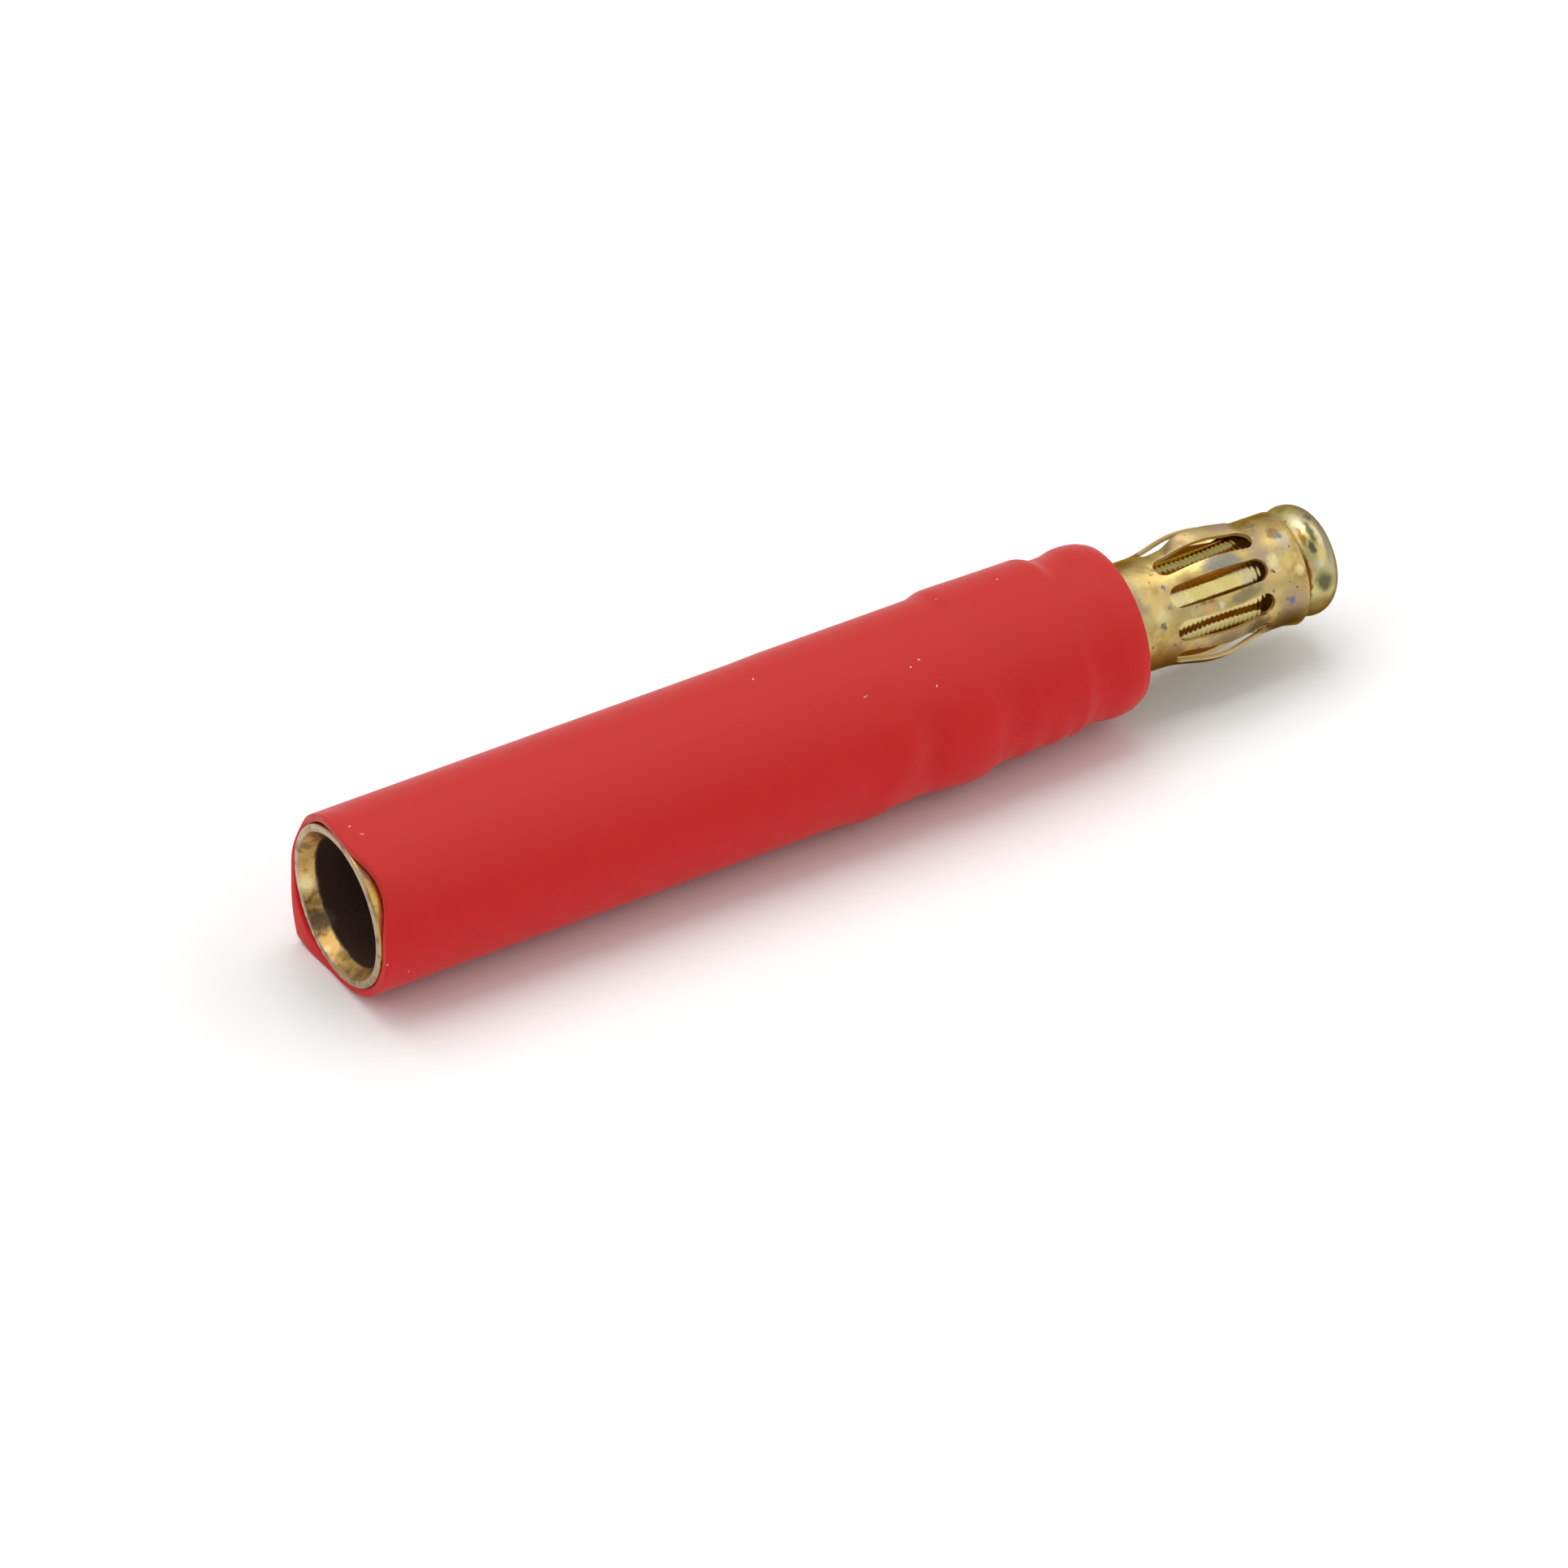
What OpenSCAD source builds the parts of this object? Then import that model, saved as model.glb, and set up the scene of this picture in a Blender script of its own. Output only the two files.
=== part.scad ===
// Bullet connector adapter, in millimetres.
// A round socket and a spring plug of the next size down are crimped end to end,
// and one shrunk sleeve insulates them.
// Everything is drawn along X from the socket's mouth, with the axis on Y = Z = 0.
// It is then laid on Z = 0, about the middle of its length.
// Angles around the axis start at the top (+Z) and run towards the front (-Y).

/* [Socket] */
// Outer diameter of the socket tube
socket_od = 5.0; // [4.8:0.1:5.6]
// Diameter of the contact bore
socket_bore = 4.0; // [3.6:0.1:4.2]
// Depth of the contact bore from the mouth
bore_depth = 12.5; // [10:0.5:14]
// Width of the mouth chamfer, measured along the radius
mouth_chamfer = 0.22; // [0.1:0.02:0.24]
// Depth of the mouth chamfer, measured along the axis
mouth_chamfer_depth = 0.46; // [0.2:0.02:0.6]
// Solid web between the contact bore and the crimp barrel
web = 1.5; // [0.8:0.1:2.5]
// Length of the crimp barrel behind the web
barrel_length = 6.8; // [6:0.1:8]

/* [Crimp] */
// Diameter of the plug's tail inside the crimp barrel
tail_d = 3.46; // [3:0.02:3.7]
// Radial clearance left between the tail and the barrel
crimp_gap = 0.02; // [0.01:0.01:0.05]
// Distance of the crimp mark from the barrel's open end
mark_from_end = 2.2; // [1.2:0.1:2.5]
// Angle of the crimp mark around the axis
mark_angle = 80; // [0:1:180]
// Radius of the ball-ended crimp punch
punch_r = 1.2; // [1:0.05:1.4]
// Depth of the crimp mark
mark_depth = 0.45; // [0.2:0.05:0.5]
// Height of the metal raised on each side of the crimp mark
raised_h = 0.08; // [0.04:0.01:0.1]
// Distance of each raised spot from the middle of the crimp mark
raised_offset = 1.5; // [1.2:0.05:1.6]

/* [Plug] */
// Diameter of the shoulder that stops against the crimp barrel
shoulder_d = 5.0; // [4.7:0.1:5.4]
// Length of the shoulder
shoulder_length = 2.9; // [2.5:0.05:4]
// Diameter at the bottom of the groove
groove_d = 4.3; // [3.8:0.1:4.5]
// Width of the groove
groove_width = 1.45; // [0.5:0.05:1.6]
// Diameter of the collar behind the spring cage
collar_d = 4.78; // [4.6:0.02:5]
// Width of the collar
collar_width = 0.6; // [0.4:0.05:1.5]
// Diameter of the core that shows between the springs
core_d = 2.4; // [1.8:0.1:2.8]
// Diameter of the rounded head
head_d = 3.4; // [3.3:0.02:3.5]
// Radius of the head's round edge
head_round = 0.705; // [0.5:0.005:0.8]
// Break on the plug's turned edges
edge_break = 0.12; // [0.05:0.01:0.2]

/* [Spring cage] */
// Outer diameter of the cage's end rings
cage_d = 3.38; // [3.3:0.02:3.44]
// Thickness of the rolled sheet
sheet = 0.13; // [0.1:0.01:0.16]
// Number of spring leaves
leaf_count = 10; // [8:1:12]
// Share of each pitch that is cut away as slot
slot_share = 0.64; // [0.5:0.02:0.7]
// Length of the ring at the collar's end
base_ring = 1.6; // [1.2:0.05:2]
// Length of the slots
slot_length = 3.3; // [2.6:0.05:4]
// Length of the ring at the head's end
front_ring = 1.2; // [0.9:0.05:1.6]
// Height of the leaves' bow over the rings
leaf_bow = 0.265; // [0.15:0.005:0.3]
// Length of plain ring that the bow takes in at each end of the slots
bow_lead = 0.25; // [0:0.05:0.4]
// Width of the seam where the rolled sheet's ends face each other
seam_width = 0.25; // [0.1:0.05:0.4]
// Angle of one slot around the axis
first_slot_angle = 45; // [0:1:90]
// Slots counted from that one to the one that the seam runs through
seam_slot = 3; // [0:1:7]
// Radial clearance of the loose rings around the plug's lands
ring_gap = 0.07; // [0.02:0.01:0.1]

/* [Sleeve] */
// Wall of the shrunk sleeve
sleeve_wall = 0.25; // [0.2:0.01:0.4]
// Extra wall on the thick side of the plug's end, taken from the thin side
wall_bias = 0.09; // [0:0.01:0.12]
// Angle of the thick side around the axis
bias_angle = -42; // [-180:1:180]
// Clearance between the sleeve and the metal that it grips
sleeve_gap = 0.014; // [0.012:0.002:0.03]
// Length of sleeve beyond the collar
sleeve_overhang = 0.2; // [0.1:0.05:0.3]
// Sag of the sleeve into the groove, below the collar's surface
groove_sag = 0.09; // [0:0.01:0.12]
// Height of the sleeve's swellings beside the crimp mark
swell_h = 0.12; // [0.11:0.005:0.15]
// Length of the ramps where the sleeve follows a step in the metal
grip_blend = 0.6; // [0.4:0.05:0.7]
// Round of the sleeve's far edge
lip_round = 0.09; // [0.04:0.01:0.12]
// Curl of the sleeve's far edge around the collar
lip_curl = 0.08; // [0:0.01:0.1]
// Height of the back crease at the sleeve's mouth, which the mouth lies on
back_crease = 0.77; // [0.6:0.01:0.9]
// Share of the back crease that the folded wall fills
fold_fill = 0.85; // [0:0.05:0.9]
// Height of the front crease at the sleeve's mouth
front_crease = 0.06; // [0:0.02:0.5]
// Angle of the front crease around the axis, opposite the back one
crease_angle = 42; // [36:6:48]
// Length over which the creases fade
crease_fade = 1.2; // [0.8:0.1:1.6]
// Distance of the sleeve's cut behind the socket's rim
cut_back = 0.08; // [0.04:0.01:0.12]
// Length of the hood that the cut leaves at the top
hood_length = 0.14; // [0:0.01:0.2]
// Length of the tip that the cut leaves on the back crease
tip_length = 0.14; // [0:0.01:0.2]
// Depth of the nick in the cut on the front
front_nick = 0.28; // [0:0.01:0.3]
// Depth of the nick in the cut on the upper back
back_nick = 0.15; // [0:0.01:0.3]
// Height of the pressed foot under the sleeve's plain run
foot_h = 0.03; // [0.02:0.005:0.04]

/* [Hidden] */
$fn = 96;
brass = "#C9AC62";
cage_gold = "#BFA05A";
sleeve_red = "#C7302D";
eps = 0.01;
seat_gap = 0.05;

// Radii of the metal
socket_r = socket_od / 2;
bore_r = socket_bore / 2;
tail_r = tail_d / 2;
barrel_bore_r = tail_r + crimp_gap;
shoulder_r = shoulder_d / 2;
groove_r = groove_d / 2;
collar_r = collar_d / 2;
core_r = core_d / 2;
cage_r = cage_d / 2;
land_r = cage_r - sheet - ring_gap;
head_r = head_d / 2;
bead_r = min(head_round, head_r / 2 - eps);
bead_ring_r = head_r - bead_r;

// Stations along the axis
x_cup = bore_depth + web;
x_barrel_end = x_cup + barrel_length;
x_tail = x_cup + seat_gap;
x_shoulder = x_barrel_end + seat_gap;
x_groove = x_shoulder + shoulder_length;
x_collar = x_groove + groove_width;
x_collar_front = x_collar + collar_width;
x_cage = x_collar_front + seat_gap;
x_slot = x_cage + base_ring;
x_slot_end = x_slot + slot_length;
x_cage_end = x_slot_end + front_ring;
x_head = x_cage_end + seat_gap;
x_bead = x_head + sqrt(max(0, pow(bead_r, 2) - pow(land_r - bead_ring_r, 2)));
x_tip = x_bead + bead_r;
x_mark = x_barrel_end - mark_from_end;
x_sleeve_end = x_collar_front + sleeve_overhang;

// The part rests on flats pressed into the sleeve, below its widest grip
rest_h = max(socket_r, shoulder_r, collar_r) + sleeve_gap + sleeve_wall + foot_h;
x_middle = (x_tip - max(0, hood_length - cut_back, tip_length - cut_back)) / 2;

// Crimp punch: the barrel's wall is driven into the tail around the same centre
punch_c = socket_r + punch_r - mark_depth;
dent_r = punch_r + 0.8 * (socket_r - barrel_bore_r);

// Spring cage
pitch = 360 / leaf_count;
slot_angle = slot_share * pitch;
slot_end_r = cage_r * sin(slot_angle / 2);
seam_angle = first_slot_angle + seam_slot * pitch;
bow_steps = 14;
// The loose cage hangs on the lands, a little below the plug's axis
cage_drop = 0.8 * ring_gap;

// Sleeve loft: segments around, and steps along each stretch
around = 60;
mouth_steps = 5;
plain_steps = 2;
shaped_steps = 24;
lip_steps = 3;
mouth_run = 1.6 * crease_fade;
x_shaped = x_mark - 2.6 * raised_offset;
x_lip = x_sleeve_end - 2.2 * sleeve_overhang;
// The swellings reach from the crimp mark down to the underside, where the sleeve lies on them
swell_angle = 168;
swell_half = 95;
swell_length = 0.7;
// Reach of the creases around the axis, towards the underside and away from it
front_reach = [36, 36];
back_reach = [50, 40];
// Middle and half width of the hood, the tip and the nicks, as angles around the axis
hood_span = [0, 36];
tip_span = [-126, 50];
front_nick_span = [50, 38];
back_nick_span = [-60, 30];

// Lays the finished piece on Z = 0
module laid() {
    translate([-x_middle, 0, rest_h]) children();
}

// Revolves an outline of [axial, radial] points about X
module turned(outline) {
    rotate([0, 90, 0])
        rotate_extrude()
            polygon([for (p = outline) [p[1], p[0]]]);
}

module bar(from, to, r) {
    translate([from, 0, 0]) rotate([0, 90, 0]) cylinder(h = to - from, r = r);
}

// Ball on the line at an angle around the axis
module ball_at(x, angle, distance, r) {
    rotate([angle, 0, 0]) translate([x, 0, distance]) sphere(r = r);
}

module punch(r) {
    ball_at(x_mark, mark_angle, punch_c, r);
}

// Metal raised on both sides of the crimp mark, no longer than the barrel
module raised_spots() {
    intersection() {
        bar(x_cup, x_barrel_end, socket_r + 2 * raised_h);
        for (side = [-1, 1])
            ball_at(x_mark + side * raised_offset, mark_angle, socket_r + raised_h - punch_r, punch_r);
    }
}

module contact_bore() {
    turned([
        [-eps, 0],
        [-eps, bore_r + mouth_chamfer * (1 + eps / mouth_chamfer_depth)],
        [mouth_chamfer_depth, bore_r],
        [bore_depth, bore_r],
        [bore_depth, 0]
    ]);
}

// Socket: a turned tube with the contact bore in front and the crimp barrel behind
module female_socket() {
    color(brass) laid() difference() {
        union() {
            bar(0, x_barrel_end, socket_r);
            raised_spots();
        }
        contact_bore();
        difference() {
            bar(x_cup, x_barrel_end + eps, barrel_bore_r);
            punch(dent_r);
        }
        punch(punch_r);
    }
}

// Plug body: tail, shoulder, groove, collar, the seats of the cage, core and head
module male_pin() {
    color(brass) laid() difference() {
        union() {
            turned([
                [x_tail, 0],
                [x_tail, tail_r - edge_break],
                [x_tail + edge_break, tail_r],
                [x_shoulder, tail_r],
                [x_shoulder, shoulder_r - edge_break],
                [x_shoulder + edge_break, shoulder_r],
                [x_groove - edge_break, shoulder_r],
                [x_groove, shoulder_r - edge_break],
                [x_groove, groove_r],
                [x_collar, groove_r],
                [x_collar, collar_r - edge_break],
                [x_collar + edge_break, collar_r],
                [x_collar_front - edge_break, collar_r],
                [x_collar_front, collar_r - edge_break],
                [x_collar_front, land_r],
                [x_slot - edge_break, land_r],
                [x_slot, core_r],
                [x_slot_end + edge_break, core_r],
                [x_slot_end + 2 * edge_break, land_r],
                [x_head, land_r],
                [x_bead, bead_ring_r],
                [x_tip, bead_ring_r],
                [x_tip, 0]
            ]);
            rotate([0, 90, 0])
                rotate_extrude()
                    translate([bead_ring_r, x_bead]) circle(r = bead_r);
        }
        punch(dent_r + crimp_gap);
    }
}

// Radius of the cage's outer face: plain rings, and leaves bowed along a raised cosine
function bow(t) = leaf_bow * (1 - cos(360 * t)) / 2;
x_bow = x_slot - bow_lead;
x_bow_end = x_slot_end + bow_lead;
cage_line = concat(
    [[x_cage, cage_r]],
    [for (i = [0:bow_steps]) [x_bow + (x_bow_end - x_bow) * i / bow_steps, cage_r + bow(i / bow_steps)]],
    [[x_cage_end, cage_r]]
);

// Slot with straight radial flanks and round ends, at the top
module slot() {
    reach = cage_r + 2 * leaf_bow;
    rotate([0, 90, 0])
        rotate([0, 0, 180 - slot_angle / 2])
            rotate_extrude(angle = slot_angle)
                translate([core_r, x_slot + slot_end_r])
                    square([reach - core_r, slot_length - 2 * slot_end_r]);
    for (x = [x_slot + slot_end_r, x_slot_end - slot_end_r])
        translate([x, 0, core_r]) cylinder(h = reach - core_r, r = slot_end_r);
}

// Spring cage: rolled from one slotted sheet, open along its seam
module spring_cage() {
    color(cage_gold) laid() translate([0, 0, -cage_drop]) difference() {
        turned(concat(
            cage_line,
            [for (i = [len(cage_line) - 1:-1:0]) [cage_line[i][0], cage_line[i][1] - sheet]]
        ));
        for (i = [0:leaf_count - 1])
            rotate([first_slot_angle + i * pitch, 0, 0]) slot();
        rotate([seam_angle, 0, 0])
            translate([x_cage - eps, -seam_width / 2, 0])
                cube([x_cage_end - x_cage + 2 * eps, seam_width, head_d]);
    }
}

// Shaping functions of the sleeve
function clamp01(t) = min(1, max(0, t));
function smooth(t) = let (c = clamp01(t)) c * c * (3 - 2 * c);
function wrap(a) = a - 360 * floor((a + 180) / 360);
function lobe(angle, middle, half) =
    let (d = abs(wrap(angle - middle))) d < half ? pow(cos(90 * d / half), 2) : 0;
function fold(angle, middle, reach) =
    let (d = wrap(angle - middle)) pow(clamp01(1 - abs(d) / reach[d < 0 ? 0 : 1]), 1.9);
function hump(x, middle, length) = exp(-pow((x - middle) / length, 2));
// The ramp of a step lies on its lower side, so the sleeve always clears the metal
function step_to(x, at, rise) = rise * smooth((x - at) / grip_blend + (rise > 0 ? 1 : 0));

bridge_r = collar_r - groove_sag;
function grip_r(x) = socket_r + sleeve_gap
    + step_to(x, x_barrel_end, shoulder_r - socket_r)
    + step_to(x, x_groove, bridge_r - shoulder_r)
    + step_to(x, x_collar, collar_r - bridge_r);

function swell(x, angle) = swell_h
    * (hump(x, x_mark - raised_offset, swell_length) + hump(x, x_mark + raised_offset, swell_length))
    * max(lobe(angle, swell_angle, swell_half), lobe(angle, mark_angle, swell_half));

function fade(x) = exp(-pow(x / crease_fade, 2));
function front_fold(x, angle) = fade(x) * front_crease * fold(angle, crease_angle, front_reach);
function back_fold(x, angle) = fade(x) * back_crease * fold(angle, crease_angle + 180, back_reach);

function wall(x, angle) = sleeve_wall + fold_fill * back_fold(x, angle)
    + wall_bias * cos(angle - bias_angle) * smooth((x - x_barrel_end) / grip_blend + 0.5)
    - lip_round * pow(clamp01((x - x_lip) / (x_sleeve_end - x_lip)), 2);

// The far edge curls in from the collar's front edge
function curl(x) = lip_curl * smooth((x - x_collar_front + edge_break) / (sleeve_overhang + edge_break));

function inner_r(x, angle) = grip_r(x) + swell(x, angle) - curl(x)
    + front_fold(x, angle) + (1 - fold_fill) * back_fold(x, angle);
function outer_r(x, angle) = inner_r(x, angle) + wall(x, angle);

// The mouth was cut by hand: a hood and a tip stand out and two nicks run in, fading along the creased run
function spread(angle, span) = lobe(angle, span[0], span[1]);
function uneven(angle) = cut_back
    - hood_length * spread(angle, hood_span) - tip_length * spread(angle, tip_span)
    + front_nick * spread(angle, front_nick_span) + back_nick * spread(angle, back_nick_span);
function cut(x, angle) = x + uneven(angle) * (1 - smooth(x / mouth_run));

function sleeve_point(x, angle, r, floor_h) =
    [cut(x, angle), -r * sin(angle), max(-floor_h, r * cos(angle))];

function run(from, to, steps) = [for (i = [0:steps - 1]) from + (to - from) * i / steps];
sleeve_stations = concat(
    run(0, mouth_run, mouth_steps),
    run(mouth_run, x_shaped, plain_steps),
    run(x_shaped, x_lip, shaped_steps),
    run(x_lip, x_sleeve_end, lip_steps),
    [x_sleeve_end]
);

// Shrunk sleeve: one loft outside, one inside, closed at both cuts
module shrink_sleeve() {
    rings = len(sleeve_stations);
    shell = rings * around;
    outside = [for (x = sleeve_stations) for (k = [0:around - 1])
        let (a = 360 * k / around) sleeve_point(x, a, outer_r(x, a), rest_h)];
    inside = [for (x = sleeve_stations) for (k = [0:around - 1])
        let (a = 360 * k / around) sleeve_point(x, a, inner_r(x, a), rest_h - sleeve_wall)];
    skins = [for (i = [0:rings - 2]) for (k = [0:around - 1])
        let (
            a = i * around + k,
            b = i * around + (k + 1) % around,
            c = a + around,
            d = b + around
        )
        each [[a, c, b], [b, c, d], [shell + a, shell + b, shell + c], [shell + b, shell + d, shell + c]]];
    ends = [for (k = [0:around - 1])
        let (
            a = k,
            b = (k + 1) % around,
            c = (rings - 1) * around + k,
            d = (rings - 1) * around + (k + 1) % around
        )
        each [[a, b, shell + a], [b, shell + b, shell + a], [c, shell + c, d], [d, shell + c, shell + d]]];
    color(sleeve_red) laid()
        polyhedron(points = concat(outside, inside), faces = concat(skins, ends), convexity = 6);
}

female_socket();
male_pin();
spring_cage();
shrink_sleeve();
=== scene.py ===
"""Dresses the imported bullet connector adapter: socket tube, plug pin, spring cage and shrunk sleeve.

Lengths are millimetres along the adapter, from the socket's mouth, with the axis as zero. Angles around the
axis are degrees from the top towards the front. Meshes become metres in the part's own frame when they are
made.
"""

import logging
import math
from collections.abc import Mapping, Sequence
from dataclasses import dataclass
from enum import Enum
from typing import Any

import bpy
import numpy as np
from bpy.types import Material, Mesh, Node, NodeSocket, NodeTree, Object
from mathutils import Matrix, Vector


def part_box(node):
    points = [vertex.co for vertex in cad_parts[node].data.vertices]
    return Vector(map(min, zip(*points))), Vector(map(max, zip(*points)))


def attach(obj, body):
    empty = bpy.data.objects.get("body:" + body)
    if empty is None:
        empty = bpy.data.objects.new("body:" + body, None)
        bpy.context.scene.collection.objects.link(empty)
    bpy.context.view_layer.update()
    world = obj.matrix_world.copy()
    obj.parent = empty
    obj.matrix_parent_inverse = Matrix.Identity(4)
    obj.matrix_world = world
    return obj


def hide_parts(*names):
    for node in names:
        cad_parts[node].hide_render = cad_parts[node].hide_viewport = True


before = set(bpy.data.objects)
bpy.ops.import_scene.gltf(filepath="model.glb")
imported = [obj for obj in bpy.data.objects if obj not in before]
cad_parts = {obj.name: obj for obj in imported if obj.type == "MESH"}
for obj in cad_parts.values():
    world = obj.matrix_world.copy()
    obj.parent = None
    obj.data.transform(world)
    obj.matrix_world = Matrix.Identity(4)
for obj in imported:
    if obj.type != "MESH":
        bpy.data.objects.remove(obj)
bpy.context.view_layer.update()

LOG = logging.getLogger("adapter")
MM = 0.001
# kinds of node that are used often
NOISE = "ShaderNodeTexNoise"
MIX = "ShaderNodeMix"
RAMP = "ShaderNodeMapRange"
MATHS = "ShaderNodeMath"
VECTORS = "ShaderNodeVectorMath"
SPLIT = "ShaderNodeSeparateXYZ"
COMBINE = "ShaderNodeCombineXYZ"
PLACE = "GeometryNodeSetPosition"
REALIZE = "GeometryNodeRealizeInstances"


def linear(code: str) -> tuple[float, float, float, float]:
    """Turns an sRGB hex colour to linear RGBA.

    Args:
        code: six hex digits, with or without a leading hash.
    Returns:
        The colour in scene-linear values, with alpha 1.
    """
    digits = code.lstrip("#")
    channels = [int(digits[i : i + 2], 16) / 255 for i in (0, 2, 4)]
    r, g, b = [c / 12.92 if c <= 0.04045 else ((c + 0.055) / 1.055) ** 2.4 for c in channels]
    return r, g, b, 1.0


def per_metre(size_mm: float) -> float:
    """Scale of a texture whose features are size_mm across, on coordinates in metres."""
    return 1000.0 / size_mm


def add(tree: NodeTree, kind: str, inputs: Mapping[Any, Any] | None = None, **settings: Any) -> Node:
    """Adds one node to a shader or geometry tree.

    Args:
        tree: the tree that takes the node.
        kind: the node's type name.
        inputs: for a socket's name or number, the value it is set to or the output it is linked from.
        settings: the node's own properties.
    Returns:
        The new node.
    """
    node = tree.nodes.new(kind)
    for key, value in settings.items():
        setattr(node, key, value)
    for key, value in (inputs or {}).items():
        if isinstance(value, NodeSocket):
            tree.links.new(value, node.inputs[key])
        else:
            node.inputs[key].default_value = value
    return node


@dataclass(frozen=True)
class Placement:
    """Where the adapter's axis lies in the part's frame, in millimetres."""

    mouth_x: float
    axis_z: float

    @classmethod
    def of_node(cls, node: str) -> "Placement":
        """Reads the placement from a packed round node that starts at the mouth.

        Args:
            node: name of the CAD node.
        Returns:
            The placement of its axis.
        """
        low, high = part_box(node)
        return cls(low[0] / MM, (low[2] + high[2]) / 2 / MM)

    def metres(self, points: np.ndarray) -> np.ndarray:
        """Takes points from the adapter's axes to metres in the part's frame."""
        return (points + np.array([self.mouth_x, 0.0, self.axis_z])) * MM

    def on_round(self, x: float, angle: float, radius: float) -> tuple[float, float, float]:
        """Finds a point on a round surface.

        Args:
            x: station.
            angle: angle around the axis.
            radius: distance from the axis.
        Returns:
            The point, in metres in the part's frame.
        """
        turn = math.radians(angle)
        point = np.array([x, -radius * math.sin(turn), radius * math.cos(turn)])
        return tuple(float(v) for v in self.metres(point))


# Shapes

# a fillet takes up to this share of the shorter side at its corner
FILLET_ROOM = 0.45
# a corner with a larger half angle, in radians, is left as it is
NEARLY_STRAIGHT = 1.55
# a support point lies this many tangents from the corner, and at most this much of the fillet's room
SUPPORT_TANGENTS = 1.6
SUPPORT_ROOM = 1.1
# shares of a segment that lie nearer to its ends get no point of their own
END_MARGIN = 0.002
# a smaller radius is a pole
POLE = 1e-6


@dataclass(frozen=True)
class Corner:
    """A corner of a turned outline: station, radius and the fillet on it."""

    x: float
    r: float
    fillet: float = 0.0


def rounded(corners: Sequence[Corner], steps: int = 6) -> np.ndarray:
    """Runs a line through corners and rounds each by its fillet.

    A support point on both sides of a fillet keeps the flats next to it flat under smooth shading.

    Args:
        corners: the outline's corners in order.
        steps: segments of each arc.
    Returns:
        Points of station and radius.
    """
    points = np.array([[c.x, c.r] for c in corners])
    line = [points[0]]
    for i in range(1, len(points) - 1):
        here, fillet = points[i], corners[i].fillet
        back, ahead = points[i - 1] - here, points[i + 1] - here
        room = FILLET_ROOM * min(np.linalg.norm(back), np.linalg.norm(ahead))
        back, ahead = back / np.linalg.norm(back), ahead / np.linalg.norm(ahead)
        half = math.acos(float(np.clip(back @ ahead, -1, 1))) / 2
        if fillet <= 0 or half > NEARLY_STRAIGHT:
            line.append(here)
            continue
        tangent = min(fillet / math.tan(half), room)
        radius = tangent * math.tan(half)
        middle = here + (back + ahead) / np.linalg.norm(back + ahead) * radius / math.sin(half)
        first, last = here + back * tangent - middle, here + ahead * tangent - middle
        sweep = math.pi - 2 * half
        support = min(tangent * SUPPORT_TANGENTS, room * SUPPORT_ROOM)
        line.append(here + back * support)
        for step in range(steps + 1):
            share = step / steps
            arm = math.sin((1 - share) * sweep) * first + math.sin(share * sweep) * last
            line.append(middle + arm / math.sin(sweep))
        line.append(here + ahead * support)
    line.append(points[-1])
    return np.array(line)


def filled(line: np.ndarray, start: float, stop: float, step: float) -> np.ndarray:
    """Adds points to the long segments of a line that lie between two stations.

    Args:
        line: points of station and radius.
        start: lower station.
        stop: higher station.
        step: longest segment to leave there.
    Returns:
        The denser line.
    """
    dense = [line[0]]
    for a, b in zip(line[:-1], line[1:]):
        cuts = [0.0, 1.0]
        if abs(b[0] - a[0]) > step:
            stations = np.arange(start, stop + step, step)
            shares = (stations - a[0]) / (b[0] - a[0])
            cuts = [0.0, *sorted(s for s in shares if END_MARGIN < s < 1 - END_MARGIN), 1.0]
        dense.extend(a + (b - a) * s for s in cuts[1:])
    return np.array(dense)


class Skin:
    """A closed skin that is drawn loop by loop and then made a mesh.

    Loops run from the top towards the front. Faces look outwards where the loops advance along +X.
    """

    def __init__(self) -> None:
        """Starts an empty skin."""
        self.points: list[np.ndarray] = []
        self.faces: list[tuple[int, ...]] = []
        self.size = 0

    def loop(self, points: np.ndarray) -> np.ndarray:
        """Adds a loop.

        Args:
            points: the loop's points.
        Returns:
            Their numbers in the skin.
        """
        numbers = np.arange(self.size, self.size + len(points))
        self.points.append(points)
        self.size += len(points)
        return numbers

    def between(self, first: np.ndarray, second: np.ndarray) -> None:
        """Adds the faces between two loops.

        Args:
            first: numbers of one loop, or of a single pole.
            second: numbers of the next loop, or of a single pole.
        """
        count = max(len(first), len(second))
        for k in range(count):
            after = (k + 1) % count
            if len(first) == 1:
                self.faces.append((first[0], second[after], second[k]))
            elif len(second) == 1:
                self.faces.append((first[k], first[after], second[0]))
            else:
                self.faces.append((first[k], first[after], second[after], second[k]))

    def loft(self, loops: Sequence[np.ndarray], closed: bool = False) -> None:
        """Adds loops and the faces between neighbours.

        Args:
            loops: the loops in order.
            closed: whether the last loop joins the first.
        """
        numbers = [self.loop(points) for points in loops]
        for first, second in zip(numbers[:-1], numbers[1:]):
            self.between(first, second)
        if closed:
            self.between(numbers[-1], numbers[0])

    def mesh(self, name: str, placement: Placement) -> Mesh:
        """Makes the mesh.

        Args:
            name: the mesh's name.
            placement: where the adapter lies.
        Returns:
            A smooth-shaded mesh in metres.
        """
        mesh = bpy.data.meshes.new(name)
        points = placement.metres(np.concatenate(self.points))
        mesh.from_pydata(points.tolist(), [], [tuple(int(i) for i in f) for f in self.faces])
        mesh.shade_smooth()
        mesh.update()
        return mesh


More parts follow.
